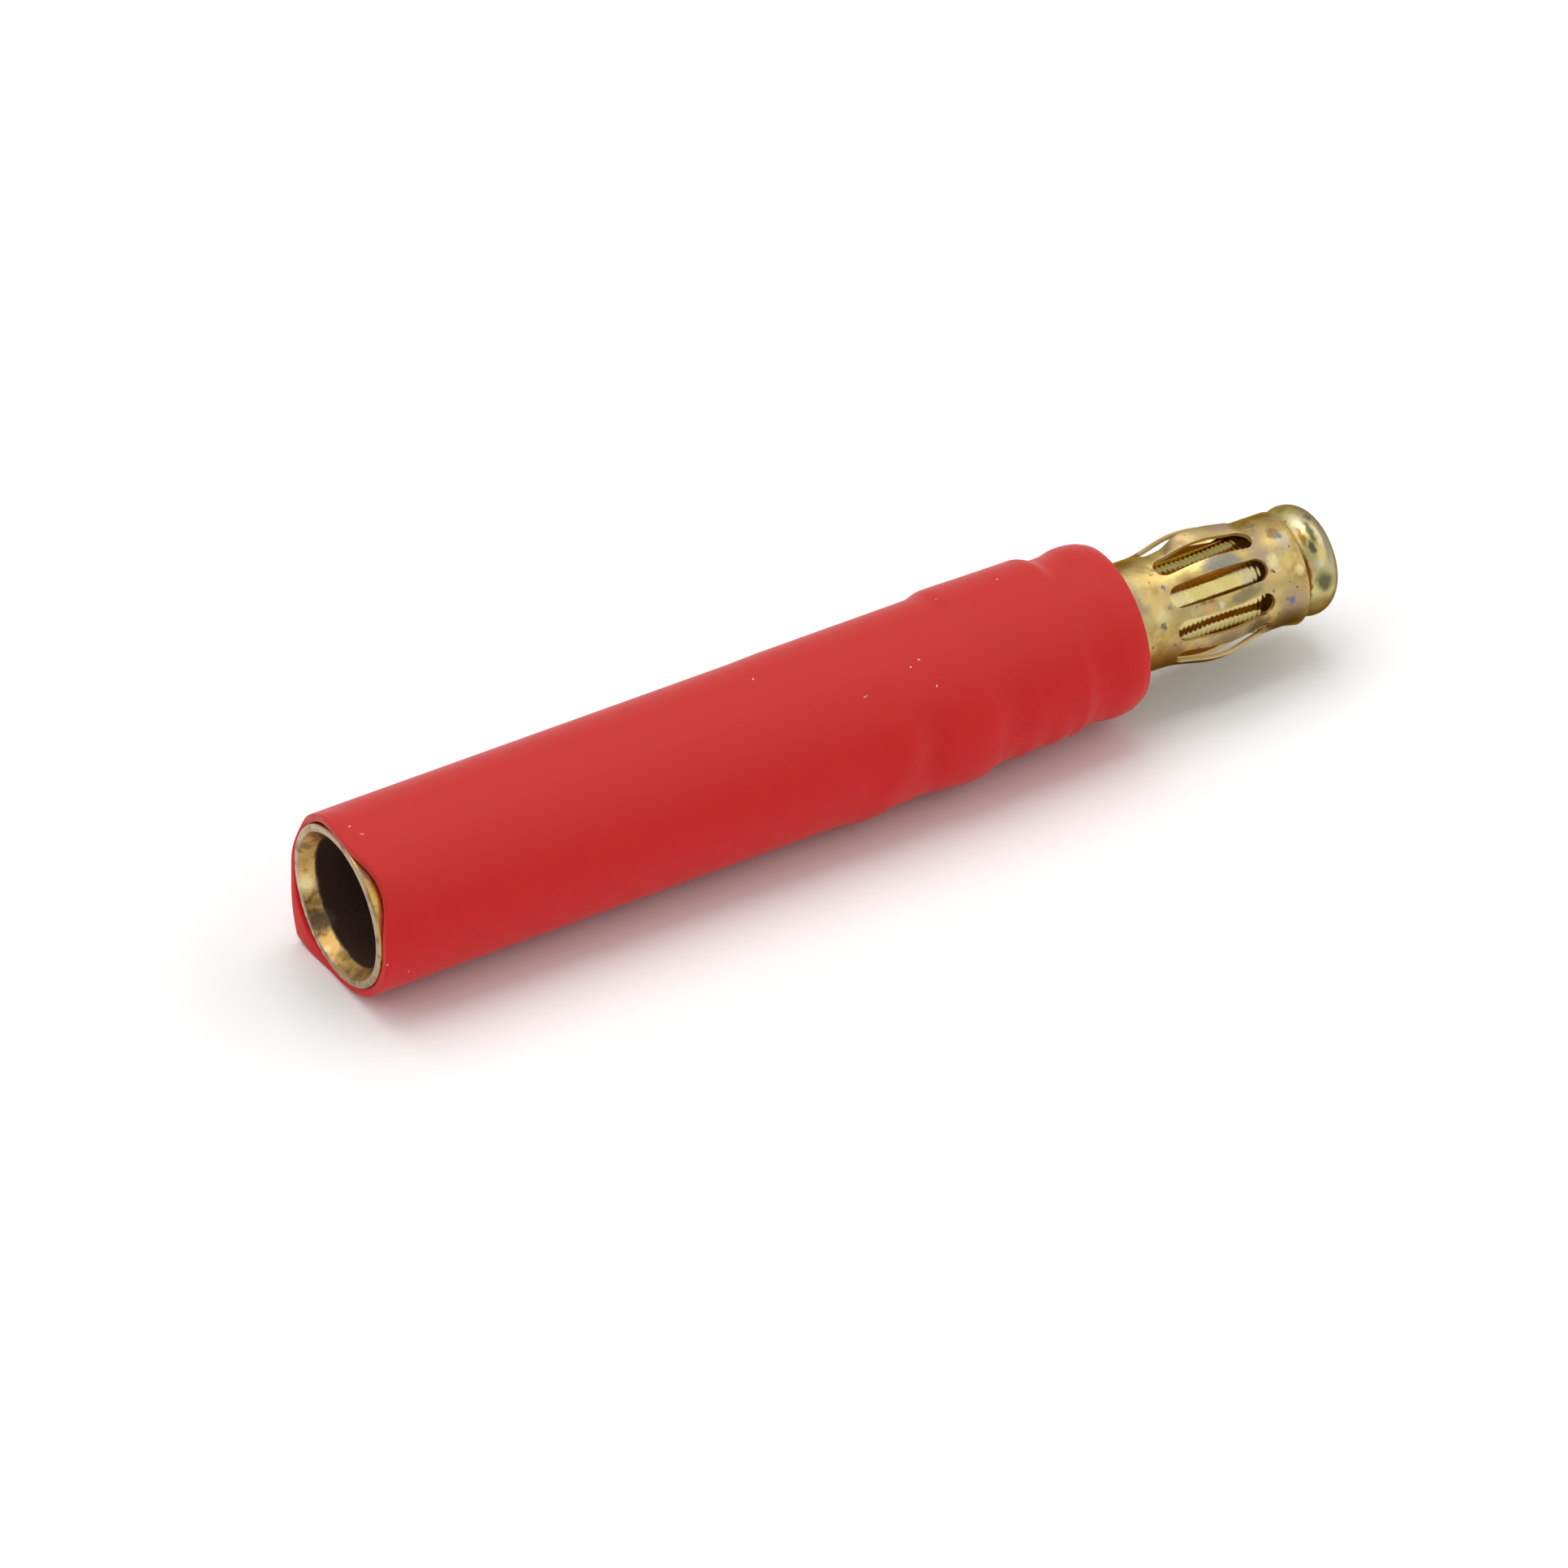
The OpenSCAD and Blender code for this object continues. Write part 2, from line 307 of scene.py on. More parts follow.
def turned(line: np.ndarray, sides: int) -> list[np.ndarray]:
    """Revolves a line about the axis.

    Args:
        line: points of station and radius. A radius of zero gives a pole.
        sides: points around.
    Returns:
        Loops of points.
    """
    turn = np.linspace(0, 2 * math.pi, sides, endpoint=False)
    loops = []
    for x, r in line:
        around = turn if r > POLE else turn[:1]
        loops.append(np.stack([np.full(around.shape, x), -r * np.sin(around), r * np.cos(around)], axis=1))
    return loops


def pressed(loops: Sequence[np.ndarray], centre: np.ndarray, radius: float, reach: float) -> list[np.ndarray]:
    """Pushes points out of a ball, as a punch does.

    Args:
        loops: loops of points.
        centre: the ball's centre.
        radius: the ball's radius.
        reach: only points at least this far from the axis move.
    Returns:
        The loops after the punch.
    """
    marked = []
    for loop in loops:
        arm = loop - centre
        length = np.linalg.norm(arm, axis=1, keepdims=True)
        far = np.hypot(loop[:, 1], loop[:, 2])[:, None] >= reach
        marked.append(np.where((length < radius) & far, centre + arm / length * radius, loop))
    return marked


def shown(name: str, mesh: Mesh, material: Material, node: str) -> None:
    """Puts a finished mesh in the scene in place of its CAD node.

    Args:
        name: the piece's name.
        mesh: its mesh, in metres in the part's frame.
        material: its finish.
        node: the CAD node that it stands for.
    """
    piece = bpy.data.objects.new(name, mesh)
    bpy.context.scene.collection.objects.link(piece)
    mesh.materials.clear()
    mesh.materials.append(material)
    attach(piece, "root")
    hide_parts(node)
    LOG.info("%s: %d faces", name, len(mesh.polygons))


def settled(holder: Object) -> Mesh:
    """Turns an object's modifiers into a plain mesh and removes the object.

    Args:
        holder: the object, already in the scene.
    Returns:
        The mesh after its modifiers.
    """
    graph = bpy.context.evaluated_depsgraph_get()
    mesh = bpy.data.meshes.new_from_object(holder.evaluated_get(graph), depsgraph=graph)
    holder.modifiers.clear()
    bpy.data.objects.remove(holder)
    return mesh


# Finishes

# noise lies mostly between the top and a span below it, so a share of a surface is a threshold there
NOISE_TOP = 0.62
NOISE_SPAN = 0.3
# a patch fades in from so far below the threshold to so far above it
PATCH_FADE = (0.02, 0.18)
# phase of the wave texture, in radians, over a length of one at a scale of one
WAVE_PHASE = 20.0


class StainOrPaintedLight(Enum):
    """Kinds of mark on the finishes, with their sRGB colours: stains, and colours for painted highlights and
    painted shade.
    """

    BLUE = "#666B8C"
    STEEL = "#8A8779"
    SMOKE = "#77745F"
    ROSE = "#A68F70"
    COPPER = "#EDBE86"
    STRAW = "#E6D59D"
    PAINTED_GLINT = "#E6DEC6"
    HAZE = "#B3AA92"
    UMBER = "#6E5A45"
    BRONZE = "#947846"
    RUST = "#8E5F2E"
    OLIVE = "#4E4F3C"
    LINT = "#EBC4BC"


@dataclass(frozen=True)
class Mark:
    """A mark on a round surface: its place, half width and kind.

    The length multiplies the half width along the axis, the fade is the share of the half width over which
    its edge dies away, and the share is how much of the surface it hides.
    """

    x: float
    angle: float
    radius: float
    size: float
    kind: StainOrPaintedLight
    length: float = 1.0
    fade: float = 0.45
    share: float = 1.0


@dataclass(frozen=True)
class Finish:
    """What every finish shares: its name, the marks on it, how far their edges wander and how finely."""

    name: str
    placement: Placement
    marks: tuple[Mark, ...] = ()
    wander: float = 0.22
    wander_size: float = 0.22

    def surface(self, tree: NodeTree, coordinates: NodeSocket) -> dict[str, Any]:
        """Draws the surface in a material's tree.

        Args:
            tree: the material's tree.
            coordinates: object coordinates, in metres.
        Returns:
            The inputs of its shader.
        """
        raise NotImplementedError

    def material(self) -> Material:
        """Builds the finish.

        Returns:
            A material of one shader, with the surface drawn on it.
        """
        material = bpy.data.materials.new(self.name)
        material.use_nodes = True
        tree = material.node_tree
        tree.nodes.clear()
        coordinates = add(tree, "ShaderNodeTexCoord").outputs["Object"]
        shader = add(tree, "ShaderNodeBsdfPrincipled", self.surface(tree, coordinates))
        add(tree, "ShaderNodeOutputMaterial", {"Surface": shader.outputs["BSDF"]})
        return material

    def marked(self, tree: NodeTree, coordinates: NodeSocket, colour: NodeSocket) -> NodeSocket:
        """Lays the marks over a colour, with ragged edges.

        Args:
            tree: the material's tree.
            coordinates: object coordinates.
            colour: the colour under the marks.
        Returns:
            The marked colour.
        """
        if not self.marks:
            return colour
        # the noise moves each point by up to half the wander, so edges are ragged
        noise = {"Vector": coordinates, "Scale": per_metre(self.wander_size), "Detail": 2.0}
        ragged = add(tree, NOISE, noise).outputs["Color"]
        centred = add(tree, VECTORS, {0: ragged, 1: (0.5, 0.5, 0.5)}, operation="SUBTRACT").outputs[0]
        reach = self.wander * MM
        pushed = {0: centred, 1: (reach, reach, reach), 2: coordinates}
        moved = add(tree, VECTORS, pushed, operation="MULTIPLY_ADD").outputs[0]
        for mark in self.marks:
            place = self.placement.on_round(mark.x, mark.angle, mark.radius)
            arm = add(tree, VECTORS, {0: moved, 1: place}, operation="SUBTRACT").outputs[0]
            drawn = {0: arm, 1: (1 / mark.length, 1, 1)}
            shortened = add(tree, VECTORS, drawn, operation="MULTIPLY").outputs[0]
            far = add(tree, VECTORS, {0: shortened}, operation="LENGTH").outputs["Value"]
            core = mark.size * (1 - mark.fade)
            limits = {"Value": far, "From Min": mark.size * MM, "From Max": core * MM, "To Max": mark.share}
            share = add(tree, RAMP, limits, interpolation_type="SMOOTHSTEP").outputs["Result"]
            laid = {0: share, 6: colour, 7: linear(mark.kind.value)}
            colour = add(tree, MIX, laid, data_type="RGBA").outputs[2]
        return colour


@dataclass(frozen=True)
class ShrunkPolyolefin(Finish):
    """Red polyolefin tubing shrunk by heat.

    It gives the eye an even satin skin with slight cloudiness and a fine pebble. A paler colour laid over its
    upper side is dust and also painted sheen from the light above, and a sheen pales the edges where it turns
    away.
    """

    colour: str = "#CE2826"
    cloud: str = "#C52321"
    cloud_size: float = 0.9
    dust_and_sheen: str = "#BE322E"
    dust_and_sheen_heights: tuple[float, float] = (0.4, 2.7)
    roughness: float = 0.48
    roughness_drift: float = 0.05
    ior: float = 1.48
    specular: float = 0.1
    bloom: float = 0.12
    bloom_roughness: float = 0.35
    pebble_size: float = 0.12
    pebble_depth: float = 0.02
    pebble_strength: float = 0.12

    def surface(self, tree: NodeTree, coordinates: NodeSocket) -> dict[str, Any]:
        """Draws clouds, dust with painted sheen, lint and pebble.

        Args:
            tree: the material's tree.
            coordinates: object coordinates, in metres.
        Returns:
            The inputs of its shader.
        """
        noise = {"Vector": coordinates, "Scale": per_metre(self.cloud_size), "Detail": 3.0}
        clouds = add(tree, NOISE, noise).outputs["Fac"]
        clouded = {0: clouds, 6: linear(self.colour), 7: linear(self.cloud)}
        base = add(tree, MIX, clouded, data_type="RGBA").outputs[2]
        # dust and painted sheen: the colour pales with the height above the axis, for dust on what looks up
        # and for the sheen from above
        height = add(tree, SPLIT, {0: coordinates}).outputs["Z"]
        begins, full = [(self.placement.axis_z + above) * MM for above in self.dust_and_sheen_heights]
        limits = {"Value": height, "From Min": begins, "From Max": full}
        paler_share = add(tree, RAMP, limits, interpolation_type="SMOOTHSTEP").outputs["Result"]
        dusted_and_sheened = add(tree, MIX, {0: paler_share, 6: base, 7: linear(self.dust_and_sheen)}, data_type="RGBA").outputs[2]
        low, high = self.roughness - self.roughness_drift, self.roughness + self.roughness_drift
        gloss = add(tree, RAMP, {"Value": clouds, "To Min": low, "To Max": high}).outputs["Result"]
        noise = {"Vector": coordinates, "Scale": per_metre(self.pebble_size), "Detail": 2.0}
        pebble = add(tree, NOISE, noise).outputs["Fac"]
        relief = {"Height": pebble, "Strength": self.pebble_strength, "Distance": self.pebble_depth * MM}
        return {
            "Base Color": self.marked(tree, coordinates, dusted_and_sheened),
            "Roughness": gloss,
            "Normal": add(tree, "ShaderNodeBump", relief).outputs["Normal"],
            "IOR": self.ior,
            "Specular IOR Level": self.specular,
            "Sheen Weight": self.bloom,
            "Sheen Roughness": self.bloom_roughness,
        }


@dataclass(frozen=True)
class Zone:
    """A finish after its zones: colour, metalness and what they add to the roughness."""

    colour: NodeSocket
    metalness: NodeSocket | float = 1.0
    dullness: NodeSocket | float = 0.0


@dataclass(frozen=True, kw_only=True)
class GoldPlate(Finish):
    """Thin gold plate on brass.

    It gives the eye a bright metal that drifts from pale to deep yellow under soft patches of grey-brown
    film. Pits are scattered over it, and the relief of turning or rolling breaks its reflections up. Where
    tarnish keeps it from turning white at grazing angles, the grazing colour tints what it reflects there.
    """

    plate: str
    deep: str
    drift_size: float = 1.1
    drift_share: float = 0.5
    film: str = "#AF9A84"
    film_size: float = 1.2
    film_share: float = 0.4
    pit_size: float = 0.4
    pit_edge: float = 0.17
    pit_core: float = 0.08
    pit_share: float = 0.75
    pit_rarity: float = 0.66
    roughness: float = 0.28
    veil: tuple[float, float] = (0.3, 0.75)
    veil_gloss: tuple[float, float] = (-0.04, 0.14)
    grain_size: float = 0.16
    turning: float = 0.0
    turning_waver: float = 1.5
    relief: float = 0.3
    relief_depth: float = 0.02
    grazing: str = "#FFFFFF"

    def patches(
        self, tree: NodeTree, coordinates: NodeSocket, size: float, share: float
    ) -> tuple[NodeSocket, NodeSocket]:
        """Makes soft patches where a pattern passes a threshold.

        Args:
            tree: the material's tree.
            coordinates: object coordinates.
            size: how large the patches are, in millimetres.
            share: how much of the surface they cover, from 0 to 1.
        Returns:
            The patches from 0 to 1, and the pattern itself.
        """
        noise = {"Vector": coordinates, "Scale": per_metre(size), "Detail": 4.0, "Roughness": 0.58}
        pattern = add(tree, NOISE, noise).outputs["Fac"]
        threshold = NOISE_TOP - NOISE_SPAN * share
        begins, full = threshold - PATCH_FADE[0], threshold + PATCH_FADE[1]
        limits = {"Value": pattern, "From Min": begins, "From Max": full}
        soft = add(tree, RAMP, limits, interpolation_type="SMOOTHSTEP").outputs["Result"]
        return soft, pattern

    def pitted(self, tree: NodeTree, coordinates: NodeSocket, colour: NodeSocket) -> NodeSocket:
        """Scatters pits over a colour.

        Args:
            tree: the material's tree.
            coordinates: object coordinates.
            colour: the colour under the pits.
        Returns:
            The pitted colour. Only about a third of the cells hold a pit.
        """
        cells = add(tree, "ShaderNodeTexVoronoi", {"Vector": coordinates, "Scale": per_metre(self.pit_size)})
        limits = {
            "Value": cells.outputs["Distance"],
            "From Min": self.pit_edge,
            "From Max": self.pit_core,
            "To Max": self.pit_share,
        }
        depth = add(tree, RAMP, limits).outputs["Result"]
        chance = add(tree, "ShaderNodeSeparateColor", {0: cells.outputs["Color"]}).outputs["Red"]
        some = add(tree, MATHS, {0: chance, 1: self.pit_rarity}, operation="GREATER_THAN").outputs[0]
        share = add(tree, MATHS, {0: depth, 1: some}, operation="MULTIPLY").outputs[0]
        laid = {0: share, 6: colour, 7: linear(StainOrPaintedLight.UMBER.value)}
        return add(tree, MIX, laid, data_type="RGBA").outputs[2]

    def zoned(self, tree: NodeTree, coordinates: NodeSocket, colour: NodeSocket) -> Zone:
        """Colour, metalness and dullness of the plate's zones. Plain plate is one zone of marked metal."""
        return Zone(self.marked(tree, coordinates, colour))

    def surface(self, tree: NodeTree, coordinates: NodeSocket) -> dict[str, Any]:
        """Draws plate, film, pits, zones and relief.

        Args:
            tree: the material's tree.
            coordinates: object coordinates, in metres.
        Returns:
            The inputs of its shader.
        """
        drift, _ = self.patches(tree, coordinates, self.drift_size, self.drift_share)
        film, pattern = self.patches(tree, coordinates, self.film_size, self.film_share)
        colour = linear(self.plate)
        for share, laid in ((drift, self.deep), (film, self.film)):
            colour = add(tree, MIX, {0: share, 6: colour, 7: linear(laid)}, data_type="RGBA").outputs[2]
        zone = self.zoned(tree, coordinates, self.pitted(tree, coordinates, colour))
        limits = {
            "Value": pattern,
            "From Min": self.veil[0],
            "From Max": self.veil[1],
            "To Min": self.roughness + self.veil_gloss[0],
            "To Max": self.roughness + self.veil_gloss[1],
        }
        veiled = add(tree, RAMP, limits).outputs["Result"]
        gloss = add(tree, MATHS, {0: veiled, 1: zone.dullness}, operation="ADD").outputs[0]
        noise = {"Vector": coordinates, "Scale": per_metre(self.grain_size), "Detail": 4.0}
        height = add(tree, NOISE, noise).outputs["Fac"]
        if self.turning > 0:
            # real feed marks are too fine to show, so these are drawn nearly a millimetre apart
            scale = per_metre(self.turning) * 2 * math.pi / WAVE_PHASE
            waves = {"Vector": coordinates, "Scale": scale, "Distortion": self.turning_waver, "Detail": 2.0}
            feed = add(tree, "ShaderNodeTexWave", waves, bands_direction="X").outputs["Fac"]
            height = add(tree, MATHS, {0: height, 1: feed}, operation="ADD").outputs[0]
        relief = {"Height": height, "Strength": self.relief, "Distance": self.relief_depth * MM}
        return {
            "Base Color": zone.colour,
            "Metallic": zone.metalness,
            "Roughness": gloss,
            "Normal": add(tree, "ShaderNodeBump", relief).outputs["Normal"],
            "Specular Tint": linear(self.grazing),
        }


@dataclass(frozen=True)
class TurnedPinGold(GoldPlate):
    """Gold plate on a turned pin.

    It gives the eye a core that is still bright enough to mirror the leaves above it, and a handled head that
    is duller.
    """

    head: float = 31.6
    head_fade: float = 0.2
    handled: float = 0.22

    def zoned(self, tree: NodeTree, coordinates: NodeSocket, colour: NodeSocket) -> Zone:
        """Marks the plate and dulls the head.

        Args:
            tree: the material's tree.
            coordinates: object coordinates.
            colour: the colour of the plate.
        Returns:
            The marked colour, and the dullness from the head's station on.
        """
        station = add(tree, SPLIT, {0: coordinates}).outputs["X"]
        start = self.placement.on_round(self.head, 0.0, 0.0)[0]
        full = start + self.head_fade * MM
        limits = {"Value": station, "From Min": start, "From Max": full, "To Max": self.handled}
        dullness = add(tree, RAMP, limits).outputs["Result"]
        return Zone(self.marked(tree, coordinates, colour), dullness=dullness)


@dataclass(frozen=True)
class RolledSpringGold(GoldPlate):
    """Gold plate on rolled spring sheet.

    It gives the eye painted shade on the undersides, a darker warm orange for the shade inside the cage, and
    pale lines along the rubbed cut edges. A face that looks away from the axis has a facing of 1, a cut edge
    about 0 and an underside -1.
    """

    rubbed: str = "#C6AC76"
    rubbed_facing: tuple[float, float] = (0.9, 0.5)
    underside_shade: str = "#C0823A"
    underside_shade_facing: tuple[float, float] = (-0.3, -0.8)

    def zoned(self, tree: NodeTree, coordinates: NodeSocket, colour: NodeSocket) -> Zone:
        """Lays cut edges and painted underside shade over the marked plate, by how each face looks from the
        axis.

        Args:
            tree: the material's tree.
            coordinates: object coordinates.
            colour: the colour of the plate outside.
        Returns:
            The colour. All of it is metal.
        """
        colour = self.marked(tree, coordinates, colour)
        facing = add(tree, "ShaderNodeAttribute", attribute_name="facing").outputs["Fac"]
        # painted shade: faces that look towards the axis get a darker warm orange
        zones = ((self.rubbed_facing, self.rubbed), (self.underside_shade_facing, self.underside_shade))
        for (begins, full), laid in zones:
            limits = {"Value": facing, "From Min": begins, "From Max": full}
            share = add(tree, RAMP, limits).outputs["Result"]
            colour = add(tree, MIX, {0: share, 6: colour, 7: linear(laid)}, data_type="RGBA").outputs[2]
        return Zone(colour)


@dataclass(frozen=True)
class WornSocketGold(GoldPlate):
    """Gold plate on a used socket.

    It gives the eye a rim face that is rubbed to pale bronze, a chamfer that is mottled brown and yellow, and
    a bore that is painted shade, coloured nearly black and barely metallic. Each zone has the two limits
    between which it fades in.
    """

    chamfer_limits: tuple[float, float] = (2.32, 2.28)
    bright: str = "#CFA762"
    mottle: str = "#7C562A"
    mottle_share: float = 0.4
    rim_limits: tuple[float, float] = (0.06, 0.02)
    rim: str = "#B59F80"
    rim_stain: str = "#8C7858"
    rim_share: float = 0.45
    stain_size: float = 0.5
    bore_limits: tuple[float, float] = (2.035, 2.005)
    bore_shade: str = "#4A362E"
    bore_shade_metalness: float = 0.1

    def zoned(self, tree: NodeTree, coordinates: NodeSocket, colour: NodeSocket) -> Zone:
        """Lays chamfer, rim and bore over the plate, and the marks over them.

        Args:
            tree: the material's tree.
            coordinates: object coordinates.
            colour: the colour of the plate outside.
        Returns:
            The colour, and the metalness, which is low in the bore.
        """
        centre = self.placement.on_round(0.0, 0.0, 0.0)
        arm = add(tree, VECTORS, {0: coordinates, 1: centre}, operation="SUBTRACT").outputs[0]
        depth = add(tree, SPLIT, {0: arm}).outputs["X"]
        flat = add(tree, VECTORS, {0: arm, 1: (0, 1, 1)}, operation="MULTIPLY").outputs[0]
        radius = add(tree, VECTORS, {0: flat}, operation="LENGTH").outputs["Value"]
        stained = []
        for share, clean, stain in (
            (self.mottle_share, self.bright, self.mottle),
            (self.rim_share, self.rim, self.rim_stain),
        ):
            patches, _ = self.patches(tree, coordinates, self.stain_size, share)
            laid = add(tree, MIX, {0: patches, 6: linear(clean), 7: linear(stain)}, data_type="RGBA")
            stained.append(laid.outputs[2])
        zones = (
            (radius, self.chamfer_limits, stained[0]),
            (depth, self.rim_limits, stained[1]),
            # painted shade: the bore is coloured nearly black and made barely metallic
            (radius, self.bore_limits, linear(self.bore_shade)),
        )
        inside = depth
        for measure, (begins, full), laid in zones:
            limits = {"Value": measure, "From Min": begins * MM, "From Max": full * MM}
            inside = add(tree, RAMP, limits).outputs["Result"]
            colour = add(tree, MIX, {0: inside, 6: colour, 7: laid}, data_type="RGBA").outputs[2]
        metalness = add(tree, RAMP, {"Value": inside, "To Min": 1.0, "To Max": self.bore_shade_metalness})
        return Zone(self.marked(tree, coordinates, colour), metalness.outputs["Result"])


@dataclass(frozen=True)
class MatteCard(Finish):
    """Pale matte card under the part, with a barely visible tooth."""

    colour: str = "#F4F4F3"
    tooth: str = "#F2F2F1"
    tooth_size: float = 4.0
    roughness: float = 0.75

    def surface(self, tree: NodeTree, coordinates: NodeSocket) -> dict[str, Any]:
        """Draws the tooth.

        Args:
            tree: the material's tree.
            coordinates: object coordinates, in metres.
        Returns:
            The inputs of its shader.
        """
        tooth = add(tree, NOISE, {"Vector": coordinates, "Scale": per_metre(self.tooth_size)}).outputs["Fac"]
        shades = {0: tooth, 6: linear(self.colour), 7: linear(self.tooth)}
        shade = add(tree, MIX, shades, data_type="RGBA").outputs[2]
        return {"Base Color": shade, "Roughness": self.roughness}


# Sub-assemblies

# points this near to the tube's radius lie on its outside
OUTSIDE = 0.01


@dataclass(frozen=True)
class Crimp:
    """The crimp that joins socket and plug under the sleeve, with metal raised before and behind it.

    A raised spot has the square of its half length as its span, and the squeeze makes it shorter around.
    """

    x: float = 18.6
    angle: float = 80.0
    punch_r: float = 1.2
    depth: float = 0.45
    raised: float = 0.08
    raised_span: float = 0.2
    raised_squeeze: float = 2.1
    offset: float = 1.5
    dent_r: float = 1.8

    def centre(self, tube_r: float) -> np.ndarray:
        """Places the punch's ball.

        Args:
            tube_r: radius of the tube that it presses.
        Returns:
            The ball's centre.
        """
        reach = tube_r + self.punch_r - self.depth
        turn = math.radians(self.angle)
        return np.array([self.x, -reach * math.sin(turn), reach * math.cos(turn)])


@dataclass
class SocketTube:
    """Turned socket: contact bore with a chamfered mouth in front, crimp barrel behind.

    The outline is dense from a little before the crimp on, so that the crimp shows in it.
    """

    placement: Placement
    crimp: Crimp
    tube_r: float = 2.5
    bore_r: float = 2.0
    bore_depth: float = 12.5
    floor_round: float = 0.2
    chamfer: float = 0.28
    chamfer_depth: float = 0.46
    chamfer_round: float = 0.12
    mouth_round: float = 0.05
    rim_round: float = 0.075
    barrel_start: float = 14.0
    barrel_end: float = 20.8
    barrel_r: float = 1.75
    barrel_rounds: tuple[float, float] = (0.06, 0.05)
    dense_before: float = 2.4
    dense_step: float = 0.1
    sides: int = 180

    def outline(self) -> np.ndarray:
        """Draws the outline from the bore's floor round the mouth and the barrel to the web.

        Returns:
            Points of station and radius.
        """
        corners = [
            Corner(self.bore_depth, 0.0),
            Corner(self.bore_depth, self.bore_r, self.floor_round),
            Corner(self.chamfer_depth, self.bore_r, self.chamfer_round),
            Corner(0.0, self.bore_r + self.chamfer, self.mouth_round),
            Corner(0.0, self.tube_r, self.rim_round),
            Corner(self.barrel_end, self.tube_r, self.barrel_rounds[0]),
            Corner(self.barrel_end, self.barrel_r, self.barrel_rounds[1]),
            Corner(self.barrel_start, self.barrel_r, self.floor_round),
            Corner(self.barrel_start, 0.0),
        ]
        return filled(rounded(corners), self.crimp.x - self.dense_before, self.barrel_end, self.dense_step)

    def build(self) -> Mesh:
        """Makes the tube with its crimp mark and the metal raised beside it.

        Returns:
            The finished mesh.
        """
        loops = turned(self.outline(), self.sides)
        mark = self.crimp
        turn = math.radians(mark.angle)
        for loop in loops:
            radius = np.hypot(loop[:, 1], loop[:, 2])
            off = np.angle(np.exp(1j * (np.arctan2(-loop[:, 1], loop[:, 2]) - turn))) * self.tube_r
            rise = np.zeros(len(loop))
            for side in (-1, 1):
                along = loop[:, 0] - mark.x - side * mark.offset
                away = (along**2 + mark.raised_squeeze * off**2) / mark.raised_span
                rise = np.maximum(rise, mark.raised * np.clip(1 - away, 0, 1))
            lift = np.where(radius > self.tube_r - OUTSIDE, 1 + rise / self.tube_r, 1.0)
            loop[:, 1:] *= lift[:, None]
        centre = mark.centre(self.tube_r)
        wall = (self.tube_r + self.barrel_r) / 2
        outside = pressed(loops, centre, mark.punch_r, wall)
        inside = pressed(loops, centre, mark.dent_r, 0.0)
        crimped = []
        for loop, outer, inner in zip(loops, outside, inside):
            beyond = np.hypot(loop[:, 1], loop[:, 2]) > wall
            crimped.append(np.where(beyond[:, None], outer, inner))
        skin = Skin()
        skin.loft(crimped)
        return skin.mesh("socket_tube", self.placement)

    def show(self) -> None:
        """Builds the tube, dresses it in worn gold plate and puts it in the scene."""
        finish = WornSocketGold(
            "gold_plate_worn", self.placement, MOUTH_MARKS, plate="#CDA85C", deep="#7C5A2A", relief=0.7
        )
        shown("socket_tube", self.build(), finish.material(), "female_socket")


